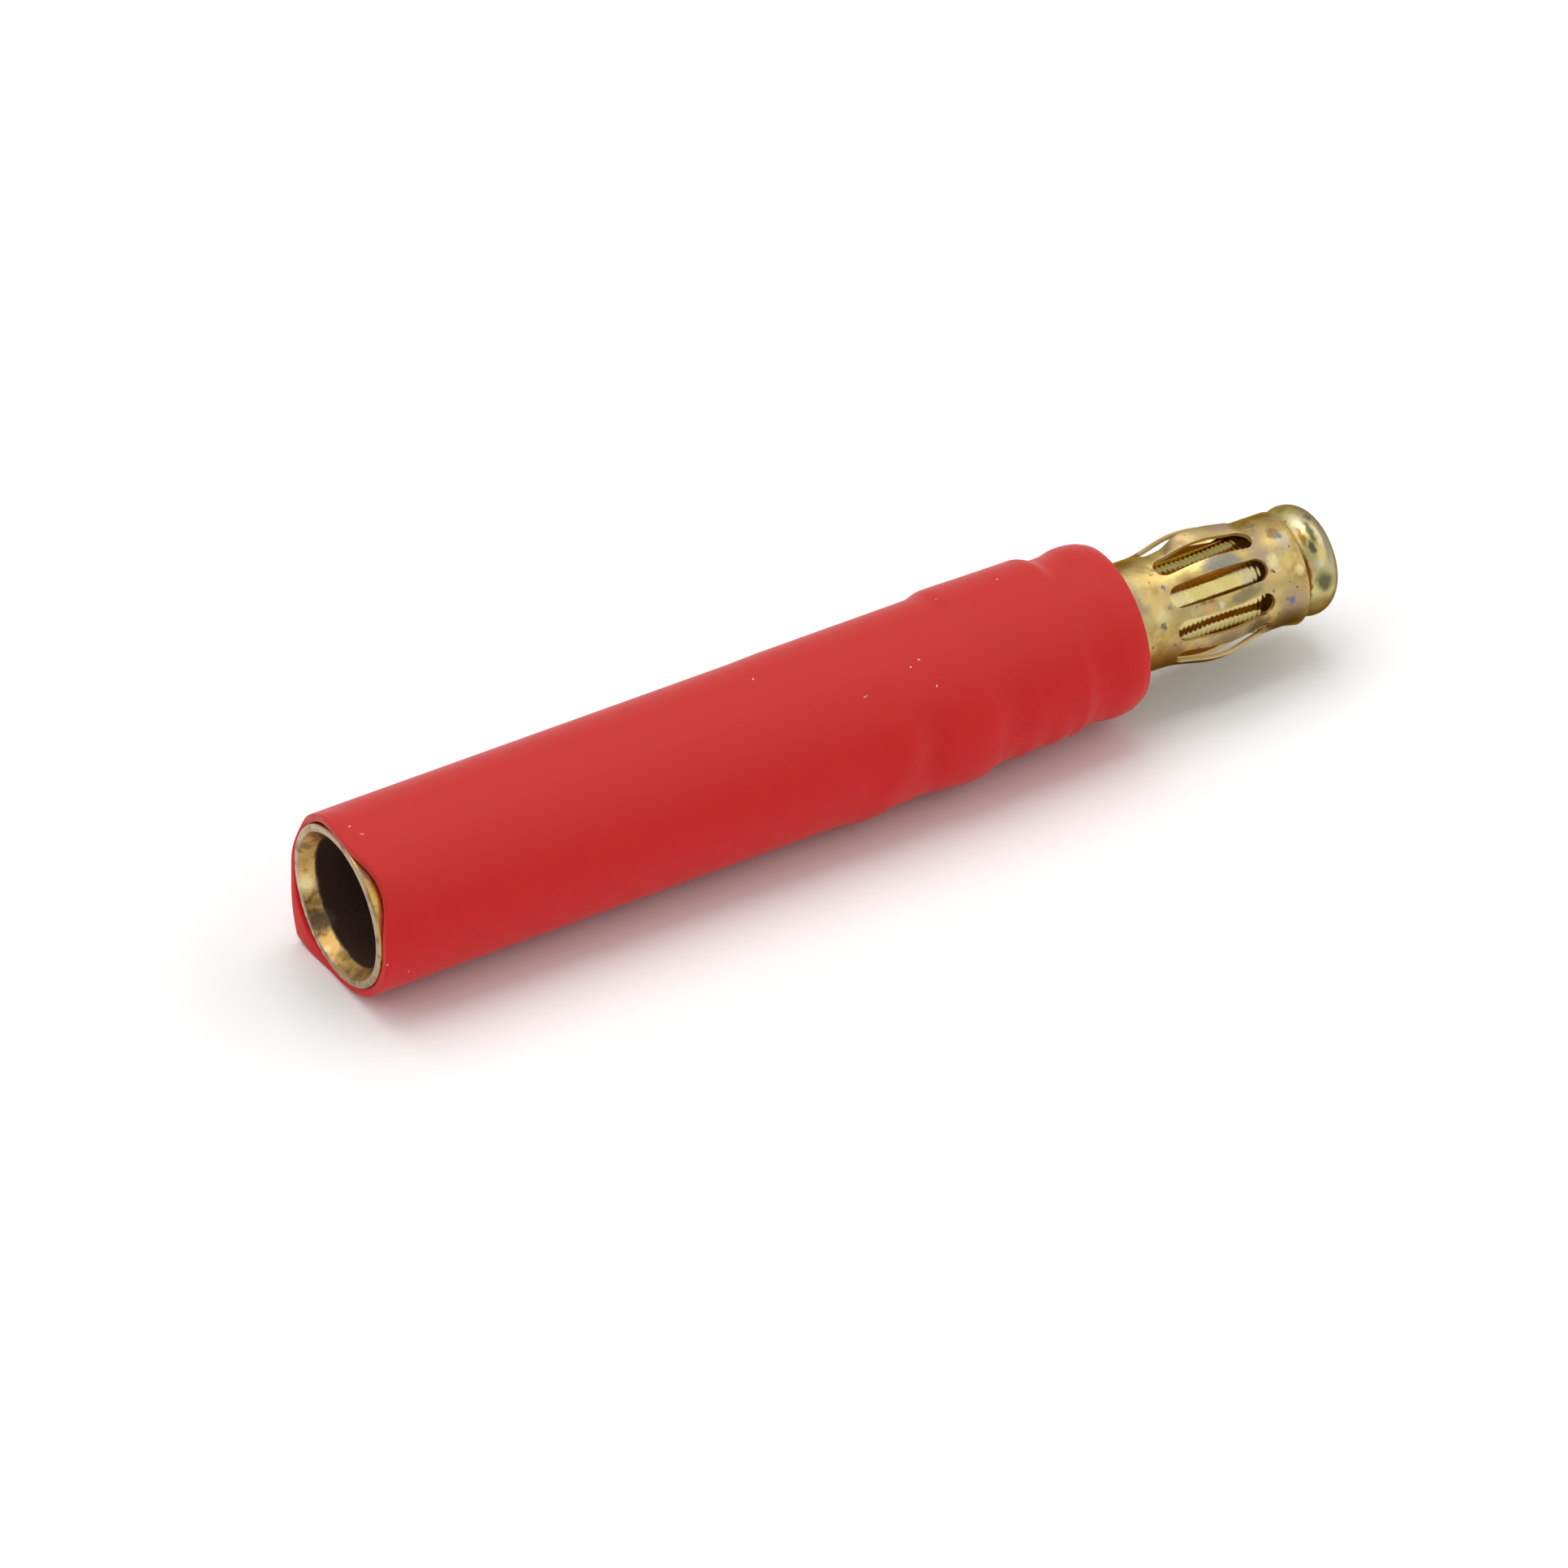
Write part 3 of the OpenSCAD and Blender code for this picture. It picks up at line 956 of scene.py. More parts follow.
@dataclass
class PlugPin:
    """Turned plug body: tail, shoulder, groove, collar, the core between two lands, and the round head."""

    placement: Placement
    crimp: Crimp
    tail_start: float = 14.05
    tail_r: float = 1.73
    tail_dent_gap: float = 0.02
    shoulder: tuple[float, float] = (20.85, 23.75)
    shoulder_r: float = 2.5
    groove_r: float = 2.15
    collar: tuple[float, float] = (25.2, 25.8)
    collar_r: float = 2.39
    edge_round: float = 0.12
    groove_round: float = 0.1
    root_rounds: tuple[float, float] = (0.05, 0.06)
    land_r: float = 1.49
    land_slope: float = 0.12
    land_round: float = 0.03
    core: tuple[float, float] = (27.45, 30.87)
    core_r: float = 1.31
    core_round: float = 0.05
    feed: float = 0.16
    feed_depth: float = 0.008
    feed_steps: int = 6
    head_start: float = 32.0
    head_gap: float = 0.02
    head_r: float = 1.7
    head_round: float = 0.705
    head_crown: float = 0.012
    head_steps: int = 30
    bead_x: float = 32.502
    dense_before: float = 2.0
    dense_step: float = 0.12
    sides: int = 180

    def feed_marks(self) -> list[Corner]:
        """Draws the waves that the turning tool left along the core, coarser than real ones, so they show.

        Returns:
            Corners between the core's two ends.
        """
        stations = np.arange(self.core[0] + self.feed, self.core[1] - self.feed, self.feed / self.feed_steps)
        waves = np.cos((stations - stations[0]) / self.feed * 2 * math.pi)
        return [Corner(x, self.core_r - self.feed_depth * (1 - w) / 2) for x, w in zip(stations, waves)]

    def outline(self) -> np.ndarray:
        """Draws the outline from the tail's end to the middle of the head.

        Returns:
            Points of station and radius.
        """
        ring = self.head_r - self.head_round
        start = math.asin((self.land_r - ring) / self.head_round)
        bead = [
            Corner(self.bead_x - self.head_round * math.cos(a), ring + self.head_round * math.sin(a))
            for a in np.linspace(start, math.pi, self.head_steps)
        ]
        body = [
            Corner(self.tail_start, 0.0),
            Corner(self.tail_start, self.tail_r, self.edge_round),
            Corner(self.shoulder[0], self.tail_r, self.root_rounds[0]),
            Corner(self.shoulder[0], self.shoulder_r, self.edge_round),
            Corner(self.shoulder[1], self.shoulder_r, self.edge_round),
            Corner(self.shoulder[1], self.groove_r, self.groove_round),
            Corner(self.collar[0], self.groove_r, self.groove_round),
            Corner(self.collar[0], self.collar_r, self.edge_round),
            Corner(self.collar[1], self.collar_r, self.edge_round),
            Corner(self.collar[1], self.land_r, self.root_rounds[1]),
            Corner(self.core[0] - self.land_slope, self.land_r, self.land_round),
            Corner(self.core[0], self.core_r, self.core_round),
            *self.feed_marks(),
            Corner(self.core[1], self.core_r, self.core_round),
            Corner(self.core[1] + self.land_slope, self.land_r, self.land_round),
            Corner(self.head_start - self.head_gap, self.land_r),
        ]
        tip = [Corner(self.bead_x + self.head_round + self.head_crown, 0.0)]
        line = rounded(body + bead + tip)
        return filled(line, self.crimp.x - self.dense_before, self.shoulder[0], self.dense_step)

    def build(self) -> Mesh:
        """Makes the pin, with the dent that the crimp leaves in its tail.

        Returns:
            The finished mesh.
        """
        centre = self.crimp.centre(self.shoulder_r)
        dent_r = self.crimp.dent_r + self.tail_dent_gap
        skin = Skin()
        skin.loft(pressed(turned(self.outline(), self.sides), centre, dent_r, 0.0))
        return skin.mesh("plug_pin", self.placement)

    def show(self) -> None:
        """Builds the pin, dresses it in turned gold plate and puts it in the scene."""
        finish = TurnedPinGold(
            "gold_plate_turned",
            self.placement,
            HEAD_MARKS,
            plate="#D2C486",
            deep="#C4B470",
            film="#B8AB86",
            film_share=0.3,
            roughness=0.1,
            relief=0.2,
            turning=0.8796,
            grazing="#957848",
        )
        shown("plug_pin", self.build(), finish.material(), "male_pin")


@dataclass(frozen=True)
class Step:
    """One node of a tree: its name, its kind, its inputs by order or by socket, and its operation.

    An input that is a text is linked from the step, or from the size, of that name.
    """

    name: str
    kind: str
    inputs: tuple[Any, ...] | Mapping[Any, Any] = ()
    operation: str = ""


STRIP_SIZES = (
    "Base ring",
    "Straight slot",
    "Slot end radius",
    "Front ring",
    "Ring radius",
    "Pitch",
    "Bow",
    "Bow spread",
    "Bow lead",
    "Seam",
    "Seam angle",
    "Start",
    "Axis height",
)
# last columns of a pitch of flat strip: ring, round slot end, straight slot, round slot end and ring
RING, ROUND, SLOT, ROUND_2, RING_2 = 12, 26, 74, 88, 98
# points across a leaf, and how near the points of neighbours are that become one, in millimetres
LEAF_POINTS = 9
WELD = 0.0005
BOW_SEED = 7
STRIP_STEPS = (
    # one pitch is stamped flat, and its leaf is what the slot leaves of it
    Step("grid", "GeometryNodeMeshGrid", (float(RING_2), 1.0, RING_2 + 1, LEAF_POINTS)),
    Step("position", "GeometryNodeInputPosition"),
    Step("point", SPLIT, ("position",)),
    Step("column", MATHS, ("point X", RING_2 / 2), "ADD"),
    Step("first turn", RAMP, ("column", RING, ROUND, 0.0, math.pi / 2)),
    Step("last turn", RAMP, ("column", SLOT, ROUND_2, 0.0, math.pi / 2)),
    Step("first cosine", MATHS, ("first turn",), "COSINE"),
    Step("first sine", MATHS, ("first turn",), "SINE"),
    Step("last cosine", MATHS, ("last turn",), "COSINE"),
    Step("last sine", MATHS, ("last turn",), "SINE"),
    Step("ring share", RAMP, ("column", 0.0, RING)),
    Step("slot share", RAMP, ("column", ROUND, SLOT)),
    Step("front share", RAMP, ("column", ROUND_2, RING_2)),
    Step("first advance", MATHS, (1.0, "first cosine"), "SUBTRACT"),
    Step("to ring", MATHS, ("ring share", "Base ring"), "MULTIPLY"),
    Step("to round", MATHS, ("first advance", "Slot end radius", "to ring"), "MULTIPLY_ADD"),
    Step("to slot", MATHS, ("slot share", "Straight slot", "to round"), "MULTIPLY_ADD"),
    Step("to last round", MATHS, ("last sine", "Slot end radius", "to slot"), "MULTIPLY_ADD"),
    Step("along", MATHS, ("front share", "Front ring", "to last round"), "MULTIPLY_ADD"),
    Step("both sines", MATHS, ("first sine", "last cosine"), "ADD"),
    Step("opening", MATHS, ("both sines", 1.0), "SUBTRACT"),
    Step("half slot", MATHS, ("opening", "Slot end radius"), "MULTIPLY"),
    Step("slot width", MATHS, ("half slot", 2.0), "MULTIPLY"),
    Step("leaf width", MATHS, ("Pitch", "slot width"), "SUBTRACT"),
    Step("across", MATHS, ("point Y", "leaf width"), "MULTIPLY"),
    Step("stamped point", COMBINE, ("along", "across")),
    Step("stamped", PLACE, {"Geometry": "grid", "Position": "stamped point"}),
    # the pitches lie side by side along the strip
    Step("number", "GeometryNodeInputIndex"),
    Step("middle", MATHS, ("number", 0.5), "ADD"),
    Step("beside", MATHS, ("middle", "Pitch"), "MULTIPLY"),
    Step("beside point", COMBINE, {"Y": "beside"}),
    Step("places", "GeometryNodePoints", {"Count": "Leaves", "Position": "beside point"}),
    Step("repeated", "GeometryNodeInstanceOnPoints", {"Points": "places", "Instance": "stamped"}),
    Step("strip", REALIZE, {"Geometry": "repeated"}),
    # the strip's two ends are cut back by half the seam
    Step("half seam", MATHS, ("Seam", 0.5), "MULTIPLY"),
    Step("whole width", MATHS, ("Leaves", "Pitch"), "MULTIPLY"),
    Step("far end", MATHS, ("whole width", "half seam"), "SUBTRACT"),
    Step("near kept", MATHS, ("point Y", "half seam"), "MAXIMUM"),
    Step("kept", MATHS, ("near kept", "far end"), "MINIMUM"),
    Step("cut point", COMBINE, ("point X", "kept")),
    Step("cut", PLACE, {"Geometry": "strip", "Position": "cut point"}),
    Step("welded", "GeometryNodeMergeByDistance", {"Geometry": "cut", "Distance": WELD}),
    # rolling makes the strip's width an angle, and the leaves bow unevenly along a raised cosine
    Step("pitches", MATHS, ("point Y", "Pitch"), "DIVIDE"),
    Step("leaf", MATHS, ("pitches",), "FLOOR"),
    Step("less bow", MATHS, ("Bow spread", -1.0), "MULTIPLY"),
    Step(
        "uneven", "FunctionNodeRandomValue", {2: "less bow", 3: "Bow spread", "ID": "leaf", "Seed": BOW_SEED}
    ),
    Step("bow start", MATHS, ("Base ring", "Bow lead"), "SUBTRACT"),
    Step("slot length", MATHS, ("Slot end radius", 2.0, "Straight slot"), "MULTIPLY_ADD"),
    Step("slot end", MATHS, ("Base ring", "slot length"), "ADD"),
    Step("bow end", MATHS, ("slot end", "Bow lead"), "ADD"),
    Step("phase", RAMP, ("point X", "bow start", "bow end", 0.0, 2 * math.pi)),
    Step("wave", MATHS, ("phase",), "COSINE"),
    Step("raised wave", MATHS, (1.0, "wave"), "SUBTRACT"),
    Step("rise", MATHS, ("raised wave", 0.5), "MULTIPLY"),
    Step("leaf bow", MATHS, ("Bow", "uneven"), "ADD"),
    Step("radius", MATHS, ("rise", "leaf bow", "Ring radius"), "MULTIPLY_ADD"),
    Step("rolled by", MATHS, ("point Y", "Ring radius"), "DIVIDE"),
    Step("turn", MATHS, ("rolled by", "Seam angle"), "ADD"),
    Step("sine", MATHS, ("turn",), "SINE"),
    Step("cosine", MATHS, ("turn",), "COSINE"),
    Step("back", MATHS, ("radius", "sine"), "MULTIPLY"),
    Step("rolled x", MATHS, ("point X", "Start"), "ADD"),
    Step("rolled y", MATHS, ("back", -1.0), "MULTIPLY"),
    Step("rolled z", MATHS, ("radius", "cosine", "Axis height"), "MULTIPLY_ADD"),
    Step("rolled point", COMBINE, ("rolled x", "rolled y", "rolled z")),
    Step("metres", VECTORS, ("rolled point", (MM, MM, MM)), "MULTIPLY"),
    Step("rolled", PLACE, {"Geometry": "welded", "Position": "metres"}),
    Step("outward", "GeometryNodeFlipFaces", {"Mesh": "rolled"}),
    Step("whole", REALIZE, {"Geometry": "outward"}),
    Step("dressed", "GeometryNodeSetMaterial", {"Geometry": "whole", "Material": "Material"}),
    Step("result", "NodeGroupOutput", {"Strip": "dressed"}),
)


@dataclass
class SpringCage:
    """Spring cage: a strip with a slot a pitch, stamped flat, rolled about the pin and left open at its seam.

    The cage is loose on its lands: it drops below the pin's axis and leans towards one side. One corner of
    the front ring flares at the seam, and one leaf is twisted.
    """

    placement: Placement
    start: float = 25.85
    base_ring: float = 1.6
    slot_length: float = 3.3
    front_ring: float = 1.2
    ring_r: float = 1.69
    sheet: float = 0.13
    leaves: int = 10
    slot_share: float = 0.64
    bow: float = 0.265
    bow_spread: float = 0.02
    bow_lead: float = 0.25
    seam: float = 0.25
    seam_angle: float = 153.0
    drop: float = 0.056
    lean: tuple[float, float] = (0.12, 0.035)
    lean_angle: float = -42.0
    flare: float = 0.14
    flare_length: float = 0.55
    flare_angle: float = 60.0
    twist: float = 0.17
    twist_leaf: float = -9.0
    twist_span: tuple[float, float] = (28.0, 30.8)
    twist_ramps: tuple[float, float] = (0.7, 0.5)
    twist_margin: float = 0.1
    edge: float = 0.035
    edge_segments: int = 3
    edge_angle: float = 50.0

    def tree(self) -> NodeTree:
        """Builds the node tree that stamps, repeats and rolls the strip.

        Returns:
            The tree, whose inputs are the strip's sizes in millimetres and the material.
        """
        tree = bpy.data.node_groups.new("rolled_spring_strip", "GeometryNodeTree")
        for name in STRIP_SIZES:
            tree.interface.new_socket(name, in_out="INPUT", socket_type="NodeSocketFloat")
        tree.interface.new_socket("Leaves", in_out="INPUT", socket_type="NodeSocketInt")
        tree.interface.new_socket("Material", in_out="INPUT", socket_type="NodeSocketMaterial")
        tree.interface.new_socket("Strip", in_out="OUTPUT", socket_type="NodeSocketGeometry")
        made = {socket.name: socket for socket in add(tree, "NodeGroupInput").outputs}
        for step in STRIP_STEPS:
            inputs = dict(enumerate(step.inputs)) if isinstance(step.inputs, tuple) else step.inputs
            linked = {k: made[v] if isinstance(v, str) else v for k, v in inputs.items()}
            node = add(tree, step.kind, linked, **({"operation": step.operation} if step.operation else {}))
            results = [socket for socket in node.outputs if socket.enabled]
            made.update({f"{step.name} {socket.name}": socket for socket in results})
            made.update({step.name: socket for socket in results[:1]})
        return tree

    def values(self, material: Material) -> dict[str, Any]:
        """Gives the tree's inputs their sizes.

        Args:
            material: the cage's finish.
        Returns:
            The value of each named input.
        """
        pitch = 2 * math.pi * self.ring_r / self.leaves
        end_r = self.slot_share * pitch / 2
        return {
            "Base ring": self.base_ring,
            "Straight slot": self.slot_length - 2 * end_r,
            "Slot end radius": end_r,
            "Front ring": self.front_ring,
            "Ring radius": self.ring_r,
            "Pitch": pitch,
            "Bow": self.bow,
            "Bow spread": self.bow_spread,
            "Bow lead": self.bow_lead,
            "Seam": self.seam,
            "Seam angle": math.radians(self.seam_angle),
            "Start": self.placement.mouth_x + self.start,
            "Axis height": self.placement.axis_z - self.drop,
            "Leaves": self.leaves,
            "Material": material,
        }

    def strip(self, material: Material) -> Mesh:
        """Runs the tree and keeps its result as a plain mesh.

        Args:
            material: the cage's finish.
        Returns:
            The rolled strip, without thickness.
        """
        tree = self.tree()
        holder = bpy.data.objects.new("strip_holder", bpy.data.meshes.new("strip_holder"))
        bpy.context.scene.collection.objects.link(holder)
        modifier = holder.modifiers.new("rolled", "NODES")
        modifier.node_group = tree
        values = self.values(material)
        for item in tree.interface.items_tree:
            if item.in_out == "INPUT":
                modifier[item.identifier] = values[item.name]
        return settled(holder)

    def axis(self) -> np.ndarray:
        """Point on the cage's own axis, at the socket's mouth, in metres."""
        return self.placement.metres(np.array([0.0, 0.0, -self.drop]))

    def sprung(self, mesh: Mesh) -> None:
        """Bends what the roll no longer holds, and leans the cage by the clearance on its lands.

        Args:
            mesh: the rolled strip, which is changed.
        """
        points = np.empty(len(mesh.vertices) * 3)
        mesh.vertices.foreach_get("co", points)
        points = points.reshape(-1, 3)
        x, y, z = ((points - self.axis()) / MM).T
        radius = np.hypot(y, z)
        angle = np.degrees(np.arctan2(-y, z))
        end = self.start + self.base_ring + self.slot_length + self.front_ring
        ahead = self.seam_angle - angle
        near = np.where(ahead >= 0, np.clip(1 - ahead / self.flare_angle, 0, 1), 0)
        lift = self.flare * near**2 * np.clip(1 - (end - x) / self.flare_length, 0, 1)
        # the twist grows across the leaf, from nothing at its lower edge
        half = 180 / self.leaves * (1 - self.slot_share)
        across = (self.twist_leaf + half - angle) / (2 * half)
        rising = np.clip((x - self.twist_span[0]) / self.twist_ramps[0], 0, 1)
        falling = np.clip((self.twist_span[1] - x) / self.twist_ramps[1], 0, 1)
        on_leaf = (across > -self.twist_margin) & (across < 1 + self.twist_margin)
        lift = lift + np.where(on_leaf, self.twist * across * np.sin(rising * falling * math.pi / 2) ** 2, 0)
        lean = np.interp(x, (self.start, end), self.lean)
        turn = math.radians(self.lean_angle)
        points[:, 1] += (y * lift / radius - lean * math.sin(turn)) * MM
        points[:, 2] += (z * lift / radius + lean * math.cos(turn)) * MM
        mesh.vertices.foreach_set("co", points.ravel())
        mesh.update()

    def faced(self, mesh: Mesh) -> None:
        """Notes on each face how far it looks away from the axis, as the attribute that the finish reads.

        Args:
            mesh: the finished cage, which gets the attribute.
        """
        normals, middles = np.empty(len(mesh.polygons) * 3), np.empty(len(mesh.polygons) * 3)
        mesh.polygons.foreach_get("normal", normals)
        mesh.polygons.foreach_get("center", middles)
        out = middles.reshape(-1, 3) - self.axis()
        out[:, 0] = 0
        out /= np.linalg.norm(out, axis=1, keepdims=True)
        facing = np.sum(out * normals.reshape(-1, 3), axis=1)
        mesh.attributes.new("facing", "FLOAT", "FACE").data.foreach_set("value", facing)

    def build(self, material: Material) -> Mesh:
        """Makes the cage: the rolled strip with its sprung seam and leaf, a sheet thick, with rounded edges.

        Args:
            material: the cage's finish.
        Returns:
            The finished mesh.
        """
        mesh = self.strip(material)
        self.sprung(mesh)
        cage = bpy.data.objects.new("cage_holder", mesh)
        bpy.context.scene.collection.objects.link(cage)
        wall = cage.modifiers.new("sheet", "SOLIDIFY")
        wall.thickness = self.sheet * MM
        wall.offset = -1.0
        wall.use_even_offset = True
        edge = cage.modifiers.new("edges", "BEVEL")
        edge.width = self.edge * MM
        edge.segments = self.edge_segments
        edge.limit_method = "ANGLE"
        edge.angle_limit = math.radians(self.edge_angle)
        finished = settled(cage)
        finished.name = "spring_cage"
        finished.shade_smooth()
        self.faced(finished)
        return finished

    def show(self) -> None:
        """Builds the cage, dresses it in rolled gold plate and puts it in the scene."""
        material = RolledSpringGold(
            "gold_plate_rolled",
            self.placement,
            CAGE_MARKS,
            wander=0.34,
            plate="#CCB373",
            deep="#A58545",
            film="#A69274",
            film_share=0.42,
            roughness=0.34,
            grazing="#B09468",
        ).material()
        shown("spring_cage_rolled", self.build(material), material, "spring_cage")


def smooth(t: np.ndarray) -> np.ndarray:
    """Eases from 0 to 1."""
    c = np.clip(t, 0, 1)
    return c * c * (3 - 2 * c)


def hump(x: np.ndarray, middle: np.ndarray | float, length: float) -> np.ndarray:
    """Soft hump along the axis."""
    return np.exp(-(((x - middle) / length) ** 2))


def away(angle: np.ndarray, middle: float) -> np.ndarray:
    """Signed angle from a middle, in degrees."""
    return (angle - middle + 180) % 360 - 180


@dataclass(frozen=True)
class Lobe:
    """A soft window around the axis: its middle and how far it reaches to each side, in degrees."""

    middle: float
    half: float

    def at(self, angle: np.ndarray) -> np.ndarray:
        """Share of the window at an angle, from 0 to 1."""
        off = np.clip(np.abs(away(angle, self.middle)) / self.half, 0, 1)
        return np.cos(off * math.pi / 2) ** 2


@dataclass(frozen=True)
class Run:
    """A stretch of the sleeve between two stations, with a ramp at each of its ends."""

    start: float
    stop: float
    ramp: float

    def at(self, x: np.ndarray) -> np.ndarray:
        """Share of the run at a station, from 0 to 1."""
        return smooth((x - self.start) / self.ramp) * smooth((self.stop - x) / self.ramp)


@dataclass(frozen=True)
class Dent:
    """A dent in the sleeve: its depth, station from the crimp, length and side."""

    depth: float
    along: float
    length: float
    side: Lobe


@dataclass
class ShrinkSleeve:
    """Shrunk sleeve, which follows tube, crimp, shoulder, groove and collar.

    At its mouth it keeps the two creases of flat tubing and an uneven cut with tongues and nicks, and its top
    stands off the tube as a hood. Its wall is thicker towards one side behind the crimp, and it thins to a
    curled lip.
    """

    placement: Placement
    crimp: Crimp
    tube: SocketTube
    pin: PlugPin
    groove_lead: float = 0.08
    end: float = 26.0
    gap: float = 0.014
    wall: float = 0.25
    bias: float = 0.13
    bias_loss: float = 0.03
    bias_angle: float = -42.0
    bias_lead: float = 0.19
    crown: float = 0.012
    crown_x: float = 20.9
    crown_length: float = 0.6
    crown_side: Lobe = Lobe(-42, 80)
    thinning: float = 0.035
    thinning_length: float = 3.0
    thinning_undone: float = 0.67
    sag: float = 0.09
    blend: float = 0.6
    swell: float = 0.105
    ridge_lengths: tuple[float, float] = (0.66, 0.74)
    ridge_angle: float = 150.0
    ridge_half: float = 95.0
    slant: tuple[float, float] = (0.85, 1.35)
    slant_side: Lobe = Lobe(90, 50)
    second_share: float = 0.92
    second_lead: float = 0.05
    dents: tuple[Dent, ...] = (
        Dent(0.065, -0.05, 0.4, Lobe(112, 70)),
        Dent(0.15, -0.15, 0.5, Lobe(86, 34)),
        Dent(0.07, 2.75, 0.45, Lobe(78, 34)),
        Dent(0.06, -2.1, 0.5, Lobe(84, 34)),
    )
    ripple: float = 0.034
    ripple_pitch: float = 1.05
    ripple_x: float = 21.69
    ripple_run: Run = Run(20.9, 23.8, 0.4)
    ripple_side: Lobe = Lobe(138, 70)
    proud: float = 0.025
    proud_run: Run = Run(14.2, 20.8, 0.8)
    proud_side: Lobe = Lobe(-42, 100)
    lip: float = 0.12
    lip_length: float = 0.7
    lip_power: float = 1.6
    curl: float = 0.048
    curl_length: float = 0.32
    crease_angle: float = 42.0
    crease_fade: float = 1.2
    crease_power: float = 1.9
    back_crease: float = 0.77
    back_reach: tuple[float, float] = (50, 40)
    fold_fill: float = 0.85
    front_crease: float = 0.06
    front_reach: tuple[float, float] = (36, 36)
    hood: float = 0.135
    hood_length: float = 0.7
    hood_side: Lobe = Lobe(-8, 32)
    cut_back: float = 0.08
    cut_fade: float = 1.92
    tongues: tuple[tuple[float, Lobe], ...] = (
        (-0.14, Lobe(0, 36)),
        (-0.14, Lobe(-126, 50)),
        (0.28, Lobe(50, 38)),
        (0.15, Lobe(-60, 30)),
    )
    shaped_before: float = 3.5
    # rounded rims: how far back from the lip or the mouth, and the share of the wall
    lip_rim: tuple[tuple[float, float], ...] = (
        (0.02, 0.97),
        (0.004, 0.88),
        (0.0, 0.76),
        (0.0, 0.2),
        (0.02, 0.03),
    )
    mouth_rim: tuple[tuple[float, float], ...] = (
        (0.012, 0.03),
        (0.0, 0.14),
        (0.0, 0.5),
        (0.0, 0.8),
        (0.006, 0.9),
        (0.026, 0.98),
    )
    around: int = 192

    def fold(self, x: np.ndarray, angle: np.ndarray, middle: float, reach: tuple[float, float]) -> np.ndarray:
        """Shapes a crease of the flat tubing, which fades behind the mouth.

        Args:
            x: station.
            angle: angle around the axis.
            middle: angle of the crease.
            reach: how far it reaches to each side.
        Returns:
            The crease from 0 to 1.
        """
        off = away(angle, middle)
        share = np.clip(1 - np.abs(off) / np.where(off < 0, reach[0], reach[1]), 0, 1) ** self.crease_power
        return hump(x, 0.0, self.crease_fade) * share

    def back_fold(self, x: np.ndarray, angle: np.ndarray) -> np.ndarray:
        """Depth of the crease on the far side of the mouth."""
        return self.back_crease * self.fold(x, angle, self.crease_angle + 180, self.back_reach)

    def past_shoulder(self, x: np.ndarray) -> np.ndarray:
        """Share of the way down from the shoulder to the groove."""
        return smooth((x - self.pin.shoulder[1] + self.groove_lead) / self.blend)

    def grip(self, x: np.ndarray) -> np.ndarray:
        """Follows the metal, without creases and swellings.

        Args:
            x: station.
        Returns:
            The inner radius. The sleeve bridges the groove with a little sag.
        """
        tube_r, collar_r = self.tube.tube_r, self.pin.collar_r
        bridge = collar_r - self.sag
        fall = self.past_shoulder(x)
        rise = smooth((x - self.pin.collar[0]) / self.blend + 1)
        return tube_r + self.gap + (bridge - tube_r) * fall + (collar_r - bridge) * rise

    def ridges(self, x: np.ndarray, angle: np.ndarray) -> np.ndarray:
        """Rises over the metal beside the crimp, and dips over the crimp itself.

        Args:
            x: station.
            angle: angle around the axis.
        Returns:
            The rise. The first ridge slants back from the lower side to the upper one.
        """
        mark = self.crimp
        side = self.slant_side
        climb = np.clip((away(angle, side.middle) + side.half) / (2 * side.half), 0, 1)
        first = hump(x, mark.x - mark.offset + self.slant[0] - self.slant[1] * climb, self.ridge_lengths[0])
        second = self.second_share * hump(x, mark.x + mark.offset - self.second_lead, self.ridge_lengths[1])
        below, beside = Lobe(self.ridge_angle, self.ridge_half), Lobe(mark.angle, self.ridge_half)
        spread = np.maximum(below.at(angle), beside.at(angle))
        dip = sum(d.depth * hump(x, mark.x + d.along, d.length) * d.side.at(angle) for d in self.dents)
        # behind the crimp the lower side keeps small ripples, and before it the upper side lies proud
        waves = np.sin(2 * math.pi * (x - self.ripple_x) / self.ripple_pitch)
        ripple = self.ripple * waves * self.ripple_side.at(angle) * self.ripple_run.at(x)
        proud = self.proud * self.proud_run.at(x) * self.proud_side.at(angle)
        return self.swell * (first + second) * spread - dip + ripple + proud

    def inner(self, x: np.ndarray, angle: np.ndarray) -> np.ndarray:
        """Shapes the inside.

        Args:
            x: station.
            angle: angle around the axis.
        Returns:
            The inner radius, with the creases and the hood at the mouth and the curl of the lip.
        """
        front = self.front_crease * self.fold(x, angle, self.crease_angle, self.front_reach)
        hood = self.hood * hump(x, 0.0, self.hood_length) * self.hood_side.at(angle)
        curl = self.curl * smooth((x - self.end + self.curl_length) / self.curl_length)
        crease = front + hood + (1 - self.fold_fill) * self.back_fold(x, angle)
        return self.grip(x) + self.ridges(x, angle) + crease - curl

